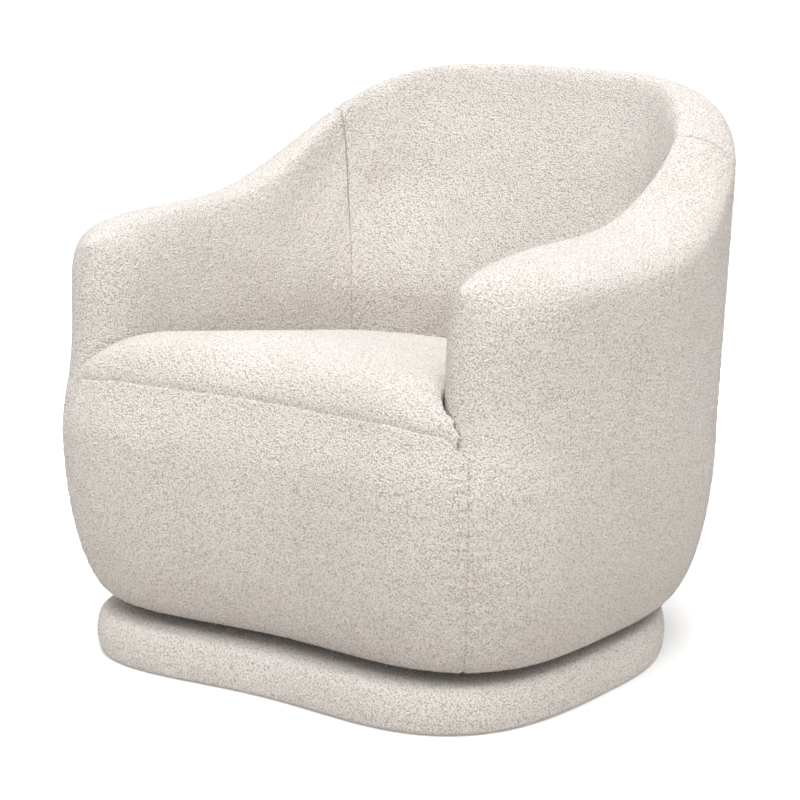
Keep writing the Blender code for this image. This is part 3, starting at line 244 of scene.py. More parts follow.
# Finishes of the frame
PLY_STRETCH = (14.0, 2.2, 3.0)
PLY_GRAIN = 9.0
PLY_TONES = ((0.3, (0.50, 0.34, 0.19)), (0.5, (0.64, 0.47, 0.29)), (0.7, (0.74, 0.58, 0.38)))
PLY_LAYERS = 110.0
PLY_LAYER_TONES = ((0.35, (0.86, 0.83, 0.80)), (0.65, (1.0, 1.0, 1.0)))
PLY_LAYER_SHARE = 0.6
PLY_ROUGHNESS = (0.55, 0.75)
PLY_RELIEF = (0.25, 0.0005)  # strength and depth
METAL_STOPS = (0.35, 0.65)
METAL_RELIEF = (0.15, 0.0002)
METAL_GRAIN = 22.0  # fineness of the grain, in scales of the mottle
FELT_SCALE = 420.0
FELT_TONES = ((0.1, (0.014, 0.014, 0.016)), (0.7, (0.035, 0.035, 0.038)))
FELT_ROUGHNESS = (0.8, 1.0)
FELT_RELIEF = (0.4, 0.0004)
# By material slot: name, dark and light tone, scale of the mottle, range of roughness, metallic share
METALS = {
    "steel": ("black_steel", (0.045, 0.045, 0.048), (0.085, 0.085, 0.09), 60.0, (0.35, 0.55), 0.6),
    "zinc": ("zinc_plate", (0.52, 0.53, 0.55), (0.70, 0.71, 0.73), 90.0, (0.25, 0.42), 1.0),
    "spring_wire": ("spring_wire_dark", (0.22, 0.22, 0.23), (0.36, 0.36, 0.37), 80.0, (0.3, 0.5), 1.0),
    "rubber": ("rubber_black", (0.018, 0.018, 0.018), (0.04, 0.04, 0.04), 120.0, (0.75, 0.95), 0.0),
    "nylon": ("nylon_dark", (0.045, 0.045, 0.047), (0.075, 0.075, 0.078), 70.0, (0.45, 0.6), 0.0),
}

# Studio
CAMERA_AZIMUTH = math.radians(35.806)
CAMERA_ELEVATION = math.radians(11.975)
CAMERA_DISTANCE = 3.522
CAMERA_TARGET_HEIGHT = 0.367
CAMERA_LENS = 118.15
CAMERA_SENSOR = 36.0
CAMERA_SHIFT = (0.0055, -0.0285)
SKY_STRENGTH = 1.74  # overhead
HORIZON_SHARE = 0.30  # of that strength, low over the horizon
GLOW_SHARES = (0.53, 0.50, 0.47)  # and from below it
SKY_STOPS = (0.48, 0.52, 0.675, 0.875)  # from straight down at 0 to straight up at 1
KEY_SUN = (30.0, 70.0, 50.0, 2.24)  # azimuth, elevation and spread in degrees, and strength
FILL_SUN = (36.0, 6.0, 40.0, 1.2)
SUN_HEIGHT = 3.0
FLOOR_REACH = 60.0
FLOOR_PAINT = (0.82, 0.82, 0.82, 1.0)
FLOOR_ROUGHNESS = 0.9

low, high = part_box("king_pin")
AXIS_Y = (low[1] + high[1]) / 2
TO_AXIS = np.array([0.0, AXIS_Y, 0.0])


# Outline laws

def signed_power(value, power):
    return np.sign(value) * np.abs(value) ** power


def smooth_step(value):
    value = np.clip(value, 0.0, 1.0)
    return value * value * (3.0 - 2.0 * value)


def ease(value, low, high):
    """From 0 at the low value to 1 at the high one, with soft ends."""
    return smooth_step((value - low) / (high - low))


def raised(place, z):
    """Points in plan with their heights added."""
    return np.concatenate([place, z[:, None]], axis=1)


def rounded_plan(angle, half_width, front, back, front_power, back_power, hollow):
    """Points of a rounded plan: angle 0 is the front centre, a quarter turn is +X, a half turn the back."""
    sine, cosine = np.sin(angle), np.cos(angle)
    ahead = cosine > 0
    power = 2.0 / np.where(ahead, front_power, back_power)
    x = half_width * signed_power(sine, power)
    y = -np.where(ahead, front, back) * signed_power(cosine, power)
    reach = np.where(ahead, np.clip(-y / front, 0.0, 1.0) ** 2, 0.0)
    return x, y + hollow * np.exp(-(x / HOLLOW_SPREAD) ** 2) * reach


def body_plan(angle, side_inset, front_inset, back_inset):
    return rounded_plan(angle, HALF_WIDTH - side_inset, FRONT_REACH - front_inset, BACK_REACH - back_inset,
                        FRONT_POWER, BACK_POWER, FRONT_HOLLOW)


def waist_curve(angle):
    return body_plan(angle, 0.0, 0.0, 0.0)


def plinth_plan(angle, inset):
    return rounded_plan(angle, PLINTH_HALF_WIDTH - inset, PLINTH_FRONT - inset, PLINTH_BACK - inset,
                        PLINTH_FRONT_POWER, PLINTH_BACK_POWER, PLINTH_HOLLOW)


def lean(z):
    return BACK_LEAN * np.clip(z - WAIST_HEIGHT, 0.0, None)


def recess(angle, z):
    fade = 1.0 - ease(np.abs(angle), NOSE_ANGLE, RECESS_END_ANGLE)
    return NOSE_RECESS * fade * ease(z, WAIST_HEIGHT, LUMBAR_HEIGHT)


def outer_plan(angle, z):
    """The skin's outside: drawn in below the waist on a quarter ellipse, leaning back above it."""
    depth = np.clip((WAIST_HEIGHT - z) / (WAIST_HEIGHT - BODY_BOTTOM), 0.0, 1.0)
    tuck = 1.0 - np.sqrt(1.0 - depth * depth)
    drawn_in = recess(angle, z)
    return body_plan(angle, SIDE_TUCK * tuck + drawn_in, FRONT_TUCK * tuck + drawn_in,
                     BACK_TUCK * tuck - lean(z))


def rim_height(angle):
    _, y = waist_curve(angle)
    share = np.clip((y - RISE_START) / (RISE_END - RISE_START), 0.0, 1.0)
    rise = share ** RISE_TOE / (share ** RISE_TOE + (1.0 - share) ** RISE_CROWN)
    closing = np.clip((NOSE_END_ANGLE - np.abs(angle)) / (NOSE_END_ANGLE - NOSE_ANGLE), 0.0, 1.0)
    drop = NOSE_DROP * (1.0 - np.sqrt(1.0 - closing * closing))
    return ARM_HEIGHT + (BACK_HEIGHT - ARM_HEIGHT) * rise - drop


def shoulder_height(angle):
    return rim_height(angle) - RIM_DEPTH


def inner_rim_depth(angle):
    """Depth of the rim's rounding on the sitter's side, which grows from the arm's tip."""
    return RIM_DEPTH + (INNER_RIM_DEPTH - RIM_DEPTH) * ease(np.abs(angle), NOSE_ANGLE, NOSE_END_ANGLE)


def ridge_share(angle):
    """Place of the rim's ridge between outside and inside."""
    nose = ease(np.abs(angle), NOSE_ANGLE, NOSE_END_ANGLE)
    turn = ease(np.abs(angle), RIDGE_START_ANGLE, RIDGE_END_ANGLE)
    return TIP_RIDGE + (ARM_RIDGE - TIP_RIDGE) * nose + (BACK_RIDGE - ARM_RIDGE) * turn


def inner_plan(angle, z):
    """The sitter's side of the arms and back: straight along the arms, closing round the arm's tip."""
    turn = np.abs(angle)
    flare = ease(z, FLARE_LOW, FLARE_HIGH)
    widening = FLARE * ease(turn, NOSE_END_ANGLE, FLARE_END_ANGLE)
    inside = HALF_WIDTH - ARM_WIDTH + widening * flare
    shoulder = shoulder_height(angle)
    fullness = 1.0 - smooth_step((z - LUMBAR_HEIGHT) / np.maximum(shoulder - LUMBAR_HEIGHT, 1e-6))
    fullness = fullness * smooth_step((turn - SIDE_SEAM_ANGLE) / LUMBAR_SPREAD)
    back = BACK_REACH + lean(np.maximum(z, LUMBAR_HEIGHT)) - BACK_WIDTH - LUMBAR * fullness
    power = 2.0 / (BACK_POWER + (INNER_POWER - BACK_POWER) * flare)
    back_x = inside * signed_power(np.sin(turn), power)
    back_y = -back * signed_power(np.cos(turn), power)
    tip_x, tip_y = outer_plan(np.full_like(turn, NOSE_ANGLE), z)
    _, end_y = waist_curve(np.array([NOSE_END_ANGLE]))
    _, outer_y = waist_curve(turn)
    quarter = np.clip((turn - NOSE_ANGLE) / (NOSE_END_ANGLE - NOSE_ANGLE), 0.0, 1.0) * math.pi / 2
    nose_y = tip_y + NOSE_DEPTH
    front_x = tip_x - (tip_x - inside) * np.sin(quarter) ** NOSE_POWER
    round_y = nose_y - NOSE_DEPTH * np.cos(quarter) ** NOSE_POWER
    straight_y = outer_y * nose_y / end_y[0]
    front_y = np.where(turn < NOSE_END_ANGLE, round_y, straight_y)
    x = np.where(turn > math.pi / 2, back_x, front_x)
    y = np.where(turn > math.pi / 2, back_y, front_y)
    return x * np.sign(angle), y


def seam_height(angle):
    """Height of the seam between the front panel and the seat, which dips at the arms' tips."""
    turn = np.abs(angle)
    sag = FRONT_SAG * ease(turn, SAG_START_ANGLE, DIP_START_ANGLE)
    return SEAM_HEIGHT - sag - DIP * ease(turn, DIP_START_ANGLE, NOSE_ANGLE)


def skin_row(angle, level, inside):
    """One level of the skin: 0 to 1 from bottom edge to waist, 2 at the shoulder, 3 on the rim's ridge."""
    depth = inner_rim_depth(angle) if inside else RIM_DEPTH
    shoulder = rim_height(angle) - depth
    if level > 2.0:
        turn = (level - 2.0) * math.pi / 2
        outer = np.stack(outer_plan(angle, shoulder_height(angle)), -1)
        inner = np.stack(inner_plan(angle, rim_height(angle) - inner_rim_depth(angle)), -1)
        start = inner if inside else outer
        ridge = outer + (inner - outer) * ridge_share(angle)[:, None]
        place = start + (ridge - start) * (1.0 - math.cos(turn))
        if inside:
            below = np.stack(inner_plan(angle, shoulder - RIM_SLOPE_STEP), -1)
            steps = depth * math.sin(turn) * math.cos(turn) ** 2 / RIM_SLOPE_STEP
            place = place + (inner - below) * steps[:, None]
        return raised(place, shoulder + depth * math.sin(turn))
    if level < 1.0:
        z = np.full_like(angle, WAIST_HEIGHT - (WAIST_HEIGHT - BODY_BOTTOM) * math.cos(level * math.pi / 2))
    else:
        z = WAIST_HEIGHT + (shoulder - WAIST_HEIGHT) * (level - 1.0)
    x, y = inner_plan(angle, z) if inside else outer_plan(angle, z)
    return np.stack([x, y, z], -1)


def hem_row(angle, share):
    """Cloth turned under the body, at a share of the hem's width from the bottom edge."""
    inset = HEM * share
    x, y = body_plan(angle, SIDE_TUCK + inset, FRONT_TUCK + inset, BACK_TUCK + inset)
    return np.stack([x, y, np.full_like(x, BODY_BOTTOM)], -1)


def evenly(curve, start, end, pitch):
    """Angles from start to end, evenly spaced along a curve given by a function of the angle."""
    dense = np.linspace(start, end, ARC_STEPS)
    place = np.stack(curve(dense), -1)
    length = np.concatenate([[0.0], np.cumsum(np.linalg.norm(np.diff(place, axis=0), axis=1))])
    count = max(2, int(round(length[-1] / pitch)) + 1)
    return np.interp(np.linspace(0.0, length[-1], count), length, dense)


# Grids of points

class Grid:
    """A sheet of points in rows and columns, open, closed along its rows, or folded at its first column.

    fold is the row that the first column folds about, and fold_start the row where the fold begins.
    """

    def __init__(self, points, closed=False, fold=None, fold_start=None):
        self.points = points
        self.closed = closed
        self.fold = fold
        self.fold_start = fold_start

    def padded(self):
        """The points with one more row and column on every side."""
        points = self.points
        if self.closed:
            left, right = points[:, -1], points[:, 0]
        else:
            left, right = 2 * points[:, 0] - points[:, 1], 2 * points[:, -1] - points[:, -2]
            if self.fold is not None:
                rows = np.arange(self.fold_start + 1, 2 * self.fold - self.fold_start)
                left[rows] = points[2 * self.fold - rows, 1]
        return with_ends(np.concatenate([left[:, None], points, right[:, None]], axis=1))

    def normals(self):
        around = self.padded()
        across = around[1:-1, 2:] - around[1:-1, :-2]
        along = around[2:, 1:-1] - around[:-2, 1:-1]
        normal = np.cross(across, along)
        length = np.linalg.norm(normal, axis=2)[:, :, None]
        normal = normal / np.maximum(length, 1e-12)
        if self.fold is not None:
            end = self.fold
            normal[end, 0] = normal[end - 1, 0] + normal[end + 1, 0] + normal[end, 1]
            normal[end, 0] /= np.linalg.norm(normal[end, 0])
        return normal

    def index(self, start=0):
        """Vertex numbers of the points, with the folded column's two halves as one."""
        rows, columns = self.points.shape[:2]
        index = start + np.arange(rows * columns).reshape(rows, columns)
        if self.fold is not None:
            folded = np.arange(self.fold + 1, 2 * self.fold - self.fold_start + 1)
            index[folded, 0] = index[2 * self.fold - folded, 0]
        return index

    def faces(self, start=0):
        index = self.index(start)
        if self.closed:
            index = np.concatenate([index, index[:, :1]], axis=1)
        corners = [index[:-1, :-1], index[:-1, 1:], index[1:, 1:], index[1:, :-1]]
        return np.stack(corners, -1).reshape(-1, 4)

    def border(self):
        """True for the points on the sheet's border."""
        edge = np.zeros(self.points.shape[:2], bool)
        edge[[0, -1]] = True
        if not self.closed:
            edge[:, -1] = True
            edge[:, 0] = True
            if self.fold is not None:
                edge[self.fold_start + 1:2 * self.fold - self.fold_start, 0] = False
        return edge

    def finer(self, factor):
        """A smooth sheet through a grid that is finer by a whole factor."""
        if self.closed:
            points = self.close_up(factor)
        else:
            points = spread_both(self.padded(), factor)
        if self.fold is None:
            return Grid(points, self.closed)
        return Grid(points, self.closed, self.fold * factor, self.fold_start * factor)

    def close_up(self, factor):
        """The finer sheet of a closed grid, whose last span leads back to the first column."""
        around = np.concatenate([self.points[:, -1:], self.points, self.points[:, :2]], axis=1)
        return spread_both(with_ends(around), factor)[:, :-1]


def with_ends(points):
    """The rows with one more at each end, straight on."""
    return np.concatenate([2 * points[:1] - points[1:2], points, 2 * points[-1:] - points[-2:-1]], axis=0)


def spread(points, factor):
    """Cubic B-spline points between the rows, whose first and last rows only guide the ends."""
    count = len(points) - 2
    place = np.arange((count - 1) * factor + 1) / factor
    span = np.minimum(place.astype(int), count - 2)
    u = (place - span).reshape(-1, *([1] * (points.ndim - 1)))
    weights = ((1 - u) ** 3, 3 * u ** 3 - 6 * u ** 2 + 4, -3 * u ** 3 + 3 * u ** 2 + 3 * u + 1, u ** 3)
    padded = with_ends(points)[1:]
    return sum(weight * padded[span + step] for step, weight in enumerate(weights)) / 6


def spread_both(points, factor):
    """The same between the rows and between the columns."""
    points = spread(points, factor)
    return np.swapaxes(spread(np.swapaxes(points, 0, 1), factor), 0, 1)


def relax(grid, weight, passes):
    """Evens out a sheet where the weight is above zero, with its border kept."""
    weight = np.where(grid.border(), 0.0, weight)[:, :, None]
    for _ in range(passes):
        around = grid.padded()
        mean = (around[:-2, 1:-1] + around[2:, 1:-1] + around[1:-1, :-2] + around[1:-1, 2:]) / 4
        grid.points = grid.points + 0.5 * weight * (mean - grid.points)
        match_fold(grid)


def match_fold(grid):
    """Gives both halves of a folded column the same place."""
    if grid.fold is not None:
        folded = np.arange(grid.fold + 1, 2 * grid.fold - grid.fold_start + 1)
        grid.points[folded, 0] = grid.points[2 * grid.fold - folded, 0]


# Padding and cloth

def swollen(points, faces, pinned, normals, cap):
    """The points after the cloth has been blown up between its pinned points, over foam that holds it out."""
    start = points - np.where(pinned, 0.0, SWELL_START)[:, None] * normals
    mesh = bpy.data.meshes.new("swelling")
    mesh.from_pydata(start.tolist(), [], faces.tolist())
    item = add_object("swelling", mesh)
    group = item.vertex_groups.new(name="pinned")
    group.add(np.flatnonzero(pinned).tolist(), 1.0, "REPLACE")
    cloth = item.modifiers.new("cloth", "CLOTH")
    settings = cloth.settings
    settings.quality = SWELL_QUALITY
    settings.tension_stiffness = CLOTH_STRETCH
    settings.compression_stiffness = CLOTH_STRETCH
    settings.shear_stiffness = CLOTH_SHEAR
    settings.bending_stiffness = CLOTH_BEND
    settings.use_pressure = True
    settings.uniform_pressure_force = SWELL_PRESSURE
    settings.vertex_group_mass = "pinned"
    settings.effector_weights.gravity = 0.0
    cloth.collision_settings.use_collision = False
    cloth.collision_settings.use_self_collision = False
    scene = bpy.context.scene
    for step in range(1, SWELL_FRAMES + 1):
        scene.frame_set(step)
    result = item.evaluated_get(bpy.context.evaluated_depsgraph_get()).to_mesh()
    place = mesh_points(result)
    scene.frame_set(1)
    bpy.data.objects.remove(item, do_unlink=True)
    bpy.data.meshes.remove(mesh)
    rise = ((place - points) * normals).sum(1)
    rise = evened(np.clip(rise, -FOAM_GIVE, cap), faces, pinned)
    return points + rise[:, None] * normals


def evened(rise, faces, pinned):
    """The heights after averaging with their neighbours, with the pinned ones at zero."""
    ends = np.concatenate([faces, np.roll(faces, 1, axis=1)]).reshape(-1)
    others = np.concatenate([np.roll(faces, 1, axis=1), faces]).reshape(-1)
    count = np.maximum(np.bincount(ends, minlength=len(rise)), 1)
    for _ in range(SWELL_ROUNDS):
        rise = np.where(pinned, 0.0, rise)
        rise = (rise + np.bincount(ends, rise[others], len(rise)) / count) / 2
    return np.where(pinned, 0.0, rise)


def swell(grid):
    """Blows a sheet up between its seams."""
    border = grid.border()
    index = grid.index()
    used, place = np.unique(index, return_inverse=True)
    number = np.full(index.max() + 1, -1)
    number[used] = np.arange(len(used))
    flat, normals = grid.points.reshape(-1, 3)[used], grid.normals().reshape(-1, 3)[used]
    moved = swollen(flat, number[grid.faces()], border.reshape(-1)[used], normals, SWELL_CAP)
    grid.points = moved[place.reshape(index.shape)]


def scattered(cells):
    """Three even random numbers from 0 to 1 for each whole-numbered cell."""
    mixed = cells * np.array(CELL_PRIMES)
    seed = mixed[..., 0] ^ mixed[..., 1] ^ mixed[..., 2]
    numbers = []
    for step in (1, 2, 3):
        value = (seed + step * CELL_STEP) & 0xFFFFFFFF
        for shift, factor in CELL_MIXERS:
            value = ((value ^ (value >> shift)) * factor) & 0xFFFFFFFF
        numbers.append(((value ^ (value >> CELL_LAST_SHIFT)) & 0xFFFF) / 0xFFFF)
    return np.stack(numbers, -1)


def nubs(points):
    """Height from -0.5 to 0.5 of the boucle's loops, as round heads of uneven size."""
    wave = 2 * math.pi / (NUB_WAVE * NUB)
    bent = points + NUB_BEND * NUB * np.sin(wave * np.roll(points, 1, -1) + np.array(NUB_PHASES))
    cell = np.floor(bent / NUB).astype(np.int64)
    best = np.zeros(len(points))
    for step in np.ndindex(3, 3, 3):
        near = cell + np.array(step) - 1
        chance = scattered(near)
        away = np.linalg.norm(bent - (near + chance) * NUB, axis=1) / NUB
        size = NUB_SMALLEST + (1.0 - NUB_SMALLEST) * chance[:, 0]
        best = np.maximum(best, size * np.sqrt(np.maximum(0.0, 1.0 - (away / (NUB_REACH * size)) ** 2)))
    return best - 0.5


def clear_of_seam(away):
    """From 0 at a seam to 1 beside it."""
    return 1.0 - np.exp(-(away / SEAM_WIDTH) ** 2)


def drawn_seam(grid, away, along, depth=SEAM_DEPTH):
    """Draws the cloth in at a seam, with small puckers beside it. away and along are lengths per point."""
    groove = -depth * np.exp(-(away / SEAM_WIDTH) ** 2)
    turn = 2 * math.pi * along / PUCKER_LENGTH
    ripple = np.sin(turn + PUCKER_DRIFT * np.sin(PUCKER_DRIFT_RATE * turn))
    ripple = ripple * np.exp(-away / PUCKER_REACH) * clear_of_seam(away)
    grid.points = grid.points + (groove + PUCKER * ripple)[:, :, None] * grid.normals()


def run_length(points, axis, backwards=False):
    """Length along the rows or columns from the first point, or from the last."""
    step = np.linalg.norm(np.diff(points, axis=axis), axis=2)
    start = np.zeros_like(np.take(step, [0], axis=axis))
    length = np.cumsum(np.concatenate([start, step], axis=axis), axis=axis)
    if backwards:
        return np.take(length, [-1], axis=axis) - length
    return length


def from_sides(points):
    """Length along the rows from the nearer end."""
    return np.minimum(run_length(points, 1), run_length(points, 1, backwards=True))


def add_nubs(grid, fade):
    height = NUB_HEIGHT * nubs(grid.points.reshape(-1, 3)).reshape(fade.shape) * fade
    grid.points = grid.points + height[:, :, None] * grid.normals()
    match_fold(grid)


def quilt(name, fine, coarse, thickness, factor):
    """A closed piece: the fine sheet outside, the coarse one as its lining, and edges between them."""
    lining = Grid(coarse.points - thickness[:, None, None] * coarse.normals(), coarse.closed, coarse.fold,
                  coarse.fold_start)
    match_fold(lining)
    outer = fine.index()
    count = outer.size
    inner = lining.index(count)
    faces = fine.faces().tolist() + lining.faces(count)[:, ::-1].tolist()
    rows, columns = coarse.points.shape[:2]
    runs = []
    spans = columns if coarse.closed else columns - 1
    for column in range(spans):
        beside = (column + 1) % columns
        chain = [(column * factor + step) % outer.shape[1] for step in range(factor + 1)]
        runs.append(([outer[0, c] for c in reversed(chain)], inner[0, column], inner[0, beside]))
        runs.append(([outer[-1, c] for c in chain], inner[-1, beside], inner[-1, column]))
    if not coarse.closed:
        last = coarse.fold_start if coarse.fold is not None else rows - 1
        for row in range(rows - 1):
            chain = list(range(row * factor, (row + 1) * factor + 1))
            if row < last:
                runs.append(([outer[r, 0] for r in chain], inner[row + 1, 0], inner[row, 0]))
            runs.append(([outer[r, -1] for r in reversed(chain)], inner[row, -1], inner[row + 1, -1]))
    for chain, here, there in runs:
        faces.append([*chain, here, there])
    points = np.concatenate([fine.points.reshape(-1, 3), lining.points.reshape(-1, 3)])
    return make_piece(name, points, faces)


def make_piece(name, points, faces):
    """An object from points about the swivel axis, without the points that no face uses."""
    used = np.zeros(len(points), bool)
    used[np.concatenate([np.array(face) for face in faces])] = True
    number = np.cumsum(used) - 1
    faces = [tuple(int(number[corner]) for corner in face) for face in faces]
    mesh = bpy.data.meshes.new(name)
    mesh.from_pydata((points[used] + TO_AXIS).tolist(), [], faces)
    mesh.shade_smooth()
    mesh.update()
    return add_object(name, mesh)


def add_object(name, data):
    item = bpy.data.objects.new(name, data)
    bpy.context.collection.objects.link(item)
    return item


def upholster(piece, body, slot, fill, *nodes):
    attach(piece, body)
    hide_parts(*nodes)


# Body pieces

def low_rows(angle):
    """The skin's rows from the hem's inner edge up to the waist, without that at the waist."""
    rows = [hem_row(angle, share) for share in HEM_SHARES]
    return rows + [skin_row(angle, level, False) for level in np.linspace(0.0, 1.0, LOW_ROWS)[:-1]]


def skin_grid(angle, side_rows, folded):
    """The skin from its hem, up the outside, over the rim and down the sitter's side to the deck."""
    rows = low_rows(angle)
    start = len(rows)
    levels = np.concatenate([np.linspace(1.0, 2.0, side_rows)[:-1], np.linspace(2.0, 3.0, RIM_ROWS)])
    rows += [skin_row(angle, level, False) for level in levels]
    ridge = len(rows) - 1
    rows += [skin_row(angle, level, True) for level in levels[-2::-1]]
    if folded:
        return Grid(np.stack(rows), fold=ridge, fold_start=start)
    return Grid(np.stack(rows))


def lining_depth(grid):
    """Thin under the turned hem, full wadding elsewhere."""
    rows = np.arange(len(grid.points))
    return COVER + (WADDING - COVER) * smooth_step((rows - len(HEM_SHARES)) / LINING_ROWS)


def arm_grid():
    nose = evenly(lambda a: inner_plan(a, np.full_like(a, SEAM_HEIGHT)), NOSE_ANGLE, NOSE_END_ANGLE, PITCH)
    rest = evenly(waist_curve, NOSE_END_ANGLE, SIDE_SEAM_ANGLE, PITCH)
    grid = skin_grid(np.concatenate([nose, rest[1:]]), ARM_ROWS, True)
    tip = grid.points[:, :1].copy()
    away = np.linalg.norm((grid.points - tip)[:, :, :2], axis=2)
    above = smooth_step((grid.points[:, :, 2] - WAIST_HEIGHT) / NOSE_FADE)
    weight = np.exp(-(away / NOSE_SOFTENING) ** 2) * above
    relax(grid, weight, NOSE_ROUNDS)
    upright = (tip[:, 0, 2] > SEAM_HEIGHT) & (tip[:, 0, 2] < ARM_HEIGHT - INNER_RIM_DEPTH)
    retreat = (tip - grid.points[:, :1])[upright][:, :, 1].mean()
    grid.points = grid.points + weight[:, :, None] * np.array([-NOSE_INWARD, retreat, 0.0])
    away = np.linalg.norm(grid.points - grid.points[grid.fold, 0], axis=2)
    relax(grid, np.exp(-(away / TIP_SOFTENING) ** 2), TIP_ROUNDS)
    return grid


def make_arms():
    coarse = arm_grid()
    swell(coarse)
    factor = 5
    fine = coarse.finer(factor)
    back_away = run_length(fine.points, 1, backwards=True)
    along = run_length(fine.points, 0)
    drawn_seam(fine, back_away, along)
    front_away = run_length(fine.points, 1)
    below = np.arange(len(fine.points)) <= fine.fold_start
    front_away = np.where(below[:, None], front_away, 1.0)
    drawn_seam(fine, front_away, along)
    add_nubs(fine, clear_of_seam(back_away) * clear_of_seam(front_away))
    for side in ("left", "right"):
        piece = quilt(f"{side}_arm", fine, coarse, lining_depth(coarse), factor)
        if side == "right":
            mirror_piece(piece)
        upholster(piece, "chair", "boucle", SKIN_FILL, f"{side}_arm_cover", f"{side}_arm_foam",
                  f"{side}_side_foam")


def mirror_piece(piece):
    """Turns a piece of the left side into the right side's."""
    mesh = piece.data
    place_points(mesh, mesh_points(mesh) * np.array([-1.0, 1.0, 1.0]))
    mesh.flip_normals()
    mesh.update()


def make_back():
    half = evenly(waist_curve, SIDE_SEAM_ANGLE, math.pi, PITCH)
    coarse = skin_grid(np.concatenate([half, -half[-2::-1]]), BACK_ROWS, False)
    swell(coarse)
    factor = 4
    fine = coarse.finer(factor)
    away = from_sides(fine.points)
    drawn_seam(fine, away, run_length(fine.points, 0))
    add_nubs(fine, clear_of_seam(away))
    piece = quilt("back", fine, coarse, lining_depth(coarse), factor)
    upholster(piece, "chair", "boucle", SKIN_FILL, "back_cover", "back_foam", "back_low_foam")


def make_front():
    half = evenly(waist_curve, 0.0, NOSE_ANGLE, PITCH)
    angle = np.concatenate([-half[:0:-1], half])
    rows = low_rows(angle)
    for share in np.linspace(0.0, 1.0, FRONT_ROWS):
        z = WAIST_HEIGHT + (seam_height(angle) - WAIST_HEIGHT) * share
        rows.append(np.stack([*outer_plan(angle, z), z], -1))
    coarse = Grid(np.stack(rows))
    swell(coarse)
    factor = 5
    fine = coarse.finer(factor)
    side = from_sides(fine.points)
    top = run_length(fine.points, 0, backwards=True)
    drawn_seam(fine, side, run_length(fine.points, 0))
    drawn_seam(fine, top, run_length(fine.points, 1), SEAT_SEAM_DEPTH)
    add_nubs(fine, clear_of_seam(side) * clear_of_seam(top))
    piece = quilt("front_panel", fine, coarse, lining_depth(coarse), factor)
    upholster(piece, "chair", "boucle", SKIN_FILL, "front_cover", "front_foam")


# Seat

def seat_edge():
    """The seat's outline with its edge heights, and the number of points on its front."""
    front = evenly(waist_curve, -SEAT_CORNER_ANGLE, SEAT_CORNER_ANGLE, PITCH)
    front_z = seam_height(front)
    front_place = np.stack([*outer_plan(front, front_z), front_z], -1)

    def inside(angle):
        return inner_plan(angle, np.full_like(angle, SEAT_OUTLINE_HEIGHT))

    start = NOSE_ANGLE + SEAT_SIDE_START * (NOSE_END_ANGLE - NOSE_ANGLE)
    half = evenly(inside, start, math.pi, PITCH)
    turn = np.concatenate([half, -half[-2::-1]])
    around = np.stack([*inside(turn), np.full_like(turn, SEAM_HEIGHT)], -1)
    outward = around[:, :2] - np.array([0.0, SEAT_CENTRE_DEPTH])
    around[:, :2] += SEAT_PRESS * outward / np.linalg.norm(outward, axis=1)[:, None]
    return np.concatenate([front_place, around]), len(front)


def seat_grid():
    """Rings of points from the seat's edge to its middle on the crowned top, and the middle point."""
    edge, front = seat_edge()
    flat = edge[:, :2]
    away = np.hypot(np.abs(flat[:, 0]) - abs(flat[0, 0]), flat[:, 1] - flat[0, 1])
    forward = 1.0 - smooth_step(away / SEAT_CORNER_LENGTH)
    forward[:front] = 1.0
    seam = np.where(np.arange(len(edge)) < front, edge[:, 2], SEAM_HEIGHT - (FRONT_SAG + DIP) * forward)
    centre = np.array([0.0, SEAT_CENTRE_DEPTH])
    reach = np.linalg.norm(flat - centre, axis=1)
    corner_share = np.exp(-(away / SEAT_CORNER_LENGTH) ** 2)
    roll = SEAT_SIDE_ROLL + (SEAT_FRONT_ROLL - SEAT_SIDE_ROLL) * forward + SEAT_CORNER_ROLL * corner_share
    rows = []
    for share in 1.0 - np.linspace(0.0, 1.0, SEAT_RINGS, endpoint=False) ** SEAT_RING_POWER:
        place = centre + share * (flat - centre)
        level = SEAT_HEIGHT - SEAT_SLOPE * np.maximum(place[:, 1] - SEAT_LEVEL_DEPTH, 0.0)
        into = np.clip(1.0 - (1.0 - share) * reach / roll, 0.0, 1.0)
        fall = SEAT_SIDE_DIP + (level - seam - SEAT_SIDE_DIP) * forward
        z = level + SEAT_CROWN * (1.0 - share ** 2) - fall * (1.0 - np.sqrt(1.0 - into ** 2))
        rows.append(raised(place, z))
    top = SEAT_HEIGHT - SEAT_SLOPE * max(centre[1] - SEAT_LEVEL_DEPTH, 0.0) + SEAT_CROWN
    return rows, np.array([*centre, top])


def make_seat():
    rings, top = seat_grid()
    count = len(rings[0])
    edge = rings[0]
    inward = np.array([0.0, SEAT_CENTRE_DEPTH]) - edge[:, :2]
    inward = inward / np.linalg.norm(inward, axis=1)[:, None]
    skirt = []
    for inset, share in SEAT_SKIRT:
        z = edge[:, 2] + (SEAT_FOOT - edge[:, 2]) * share
        skirt.append(raised(edge[:, :2] + inset * inward, z))
    rows = skirt[::-1] + rings
    points = np.concatenate(rows + [top[None], np.array([[0.0, SEAT_CENTRE_DEPTH, SEAT_FOOT]])])
    grid = Grid(np.stack(rows), closed=True)
    last = (len(rows) - 1) * count
    faces = grid.faces().tolist()
    faces += [(last + step, last + (step + 1) % count, len(points) - 2) for step in range(count)]
    faces += [((step + 1) % count, step, len(points) - 1) for step in range(count)]
    piece = make_piece("seat_cushion", points, faces)
    shaped = piece.modifiers.new("even", "REMESH")
    shaped.mode = "VOXEL"
    shaped.voxel_size = VOXEL
    shaped.adaptivity = 0.0
    settle(piece)
    shape_seat(piece)
    upholster(piece, "chair", "boucle", SEAT_FILL, "seat_cover", "seat_foam")


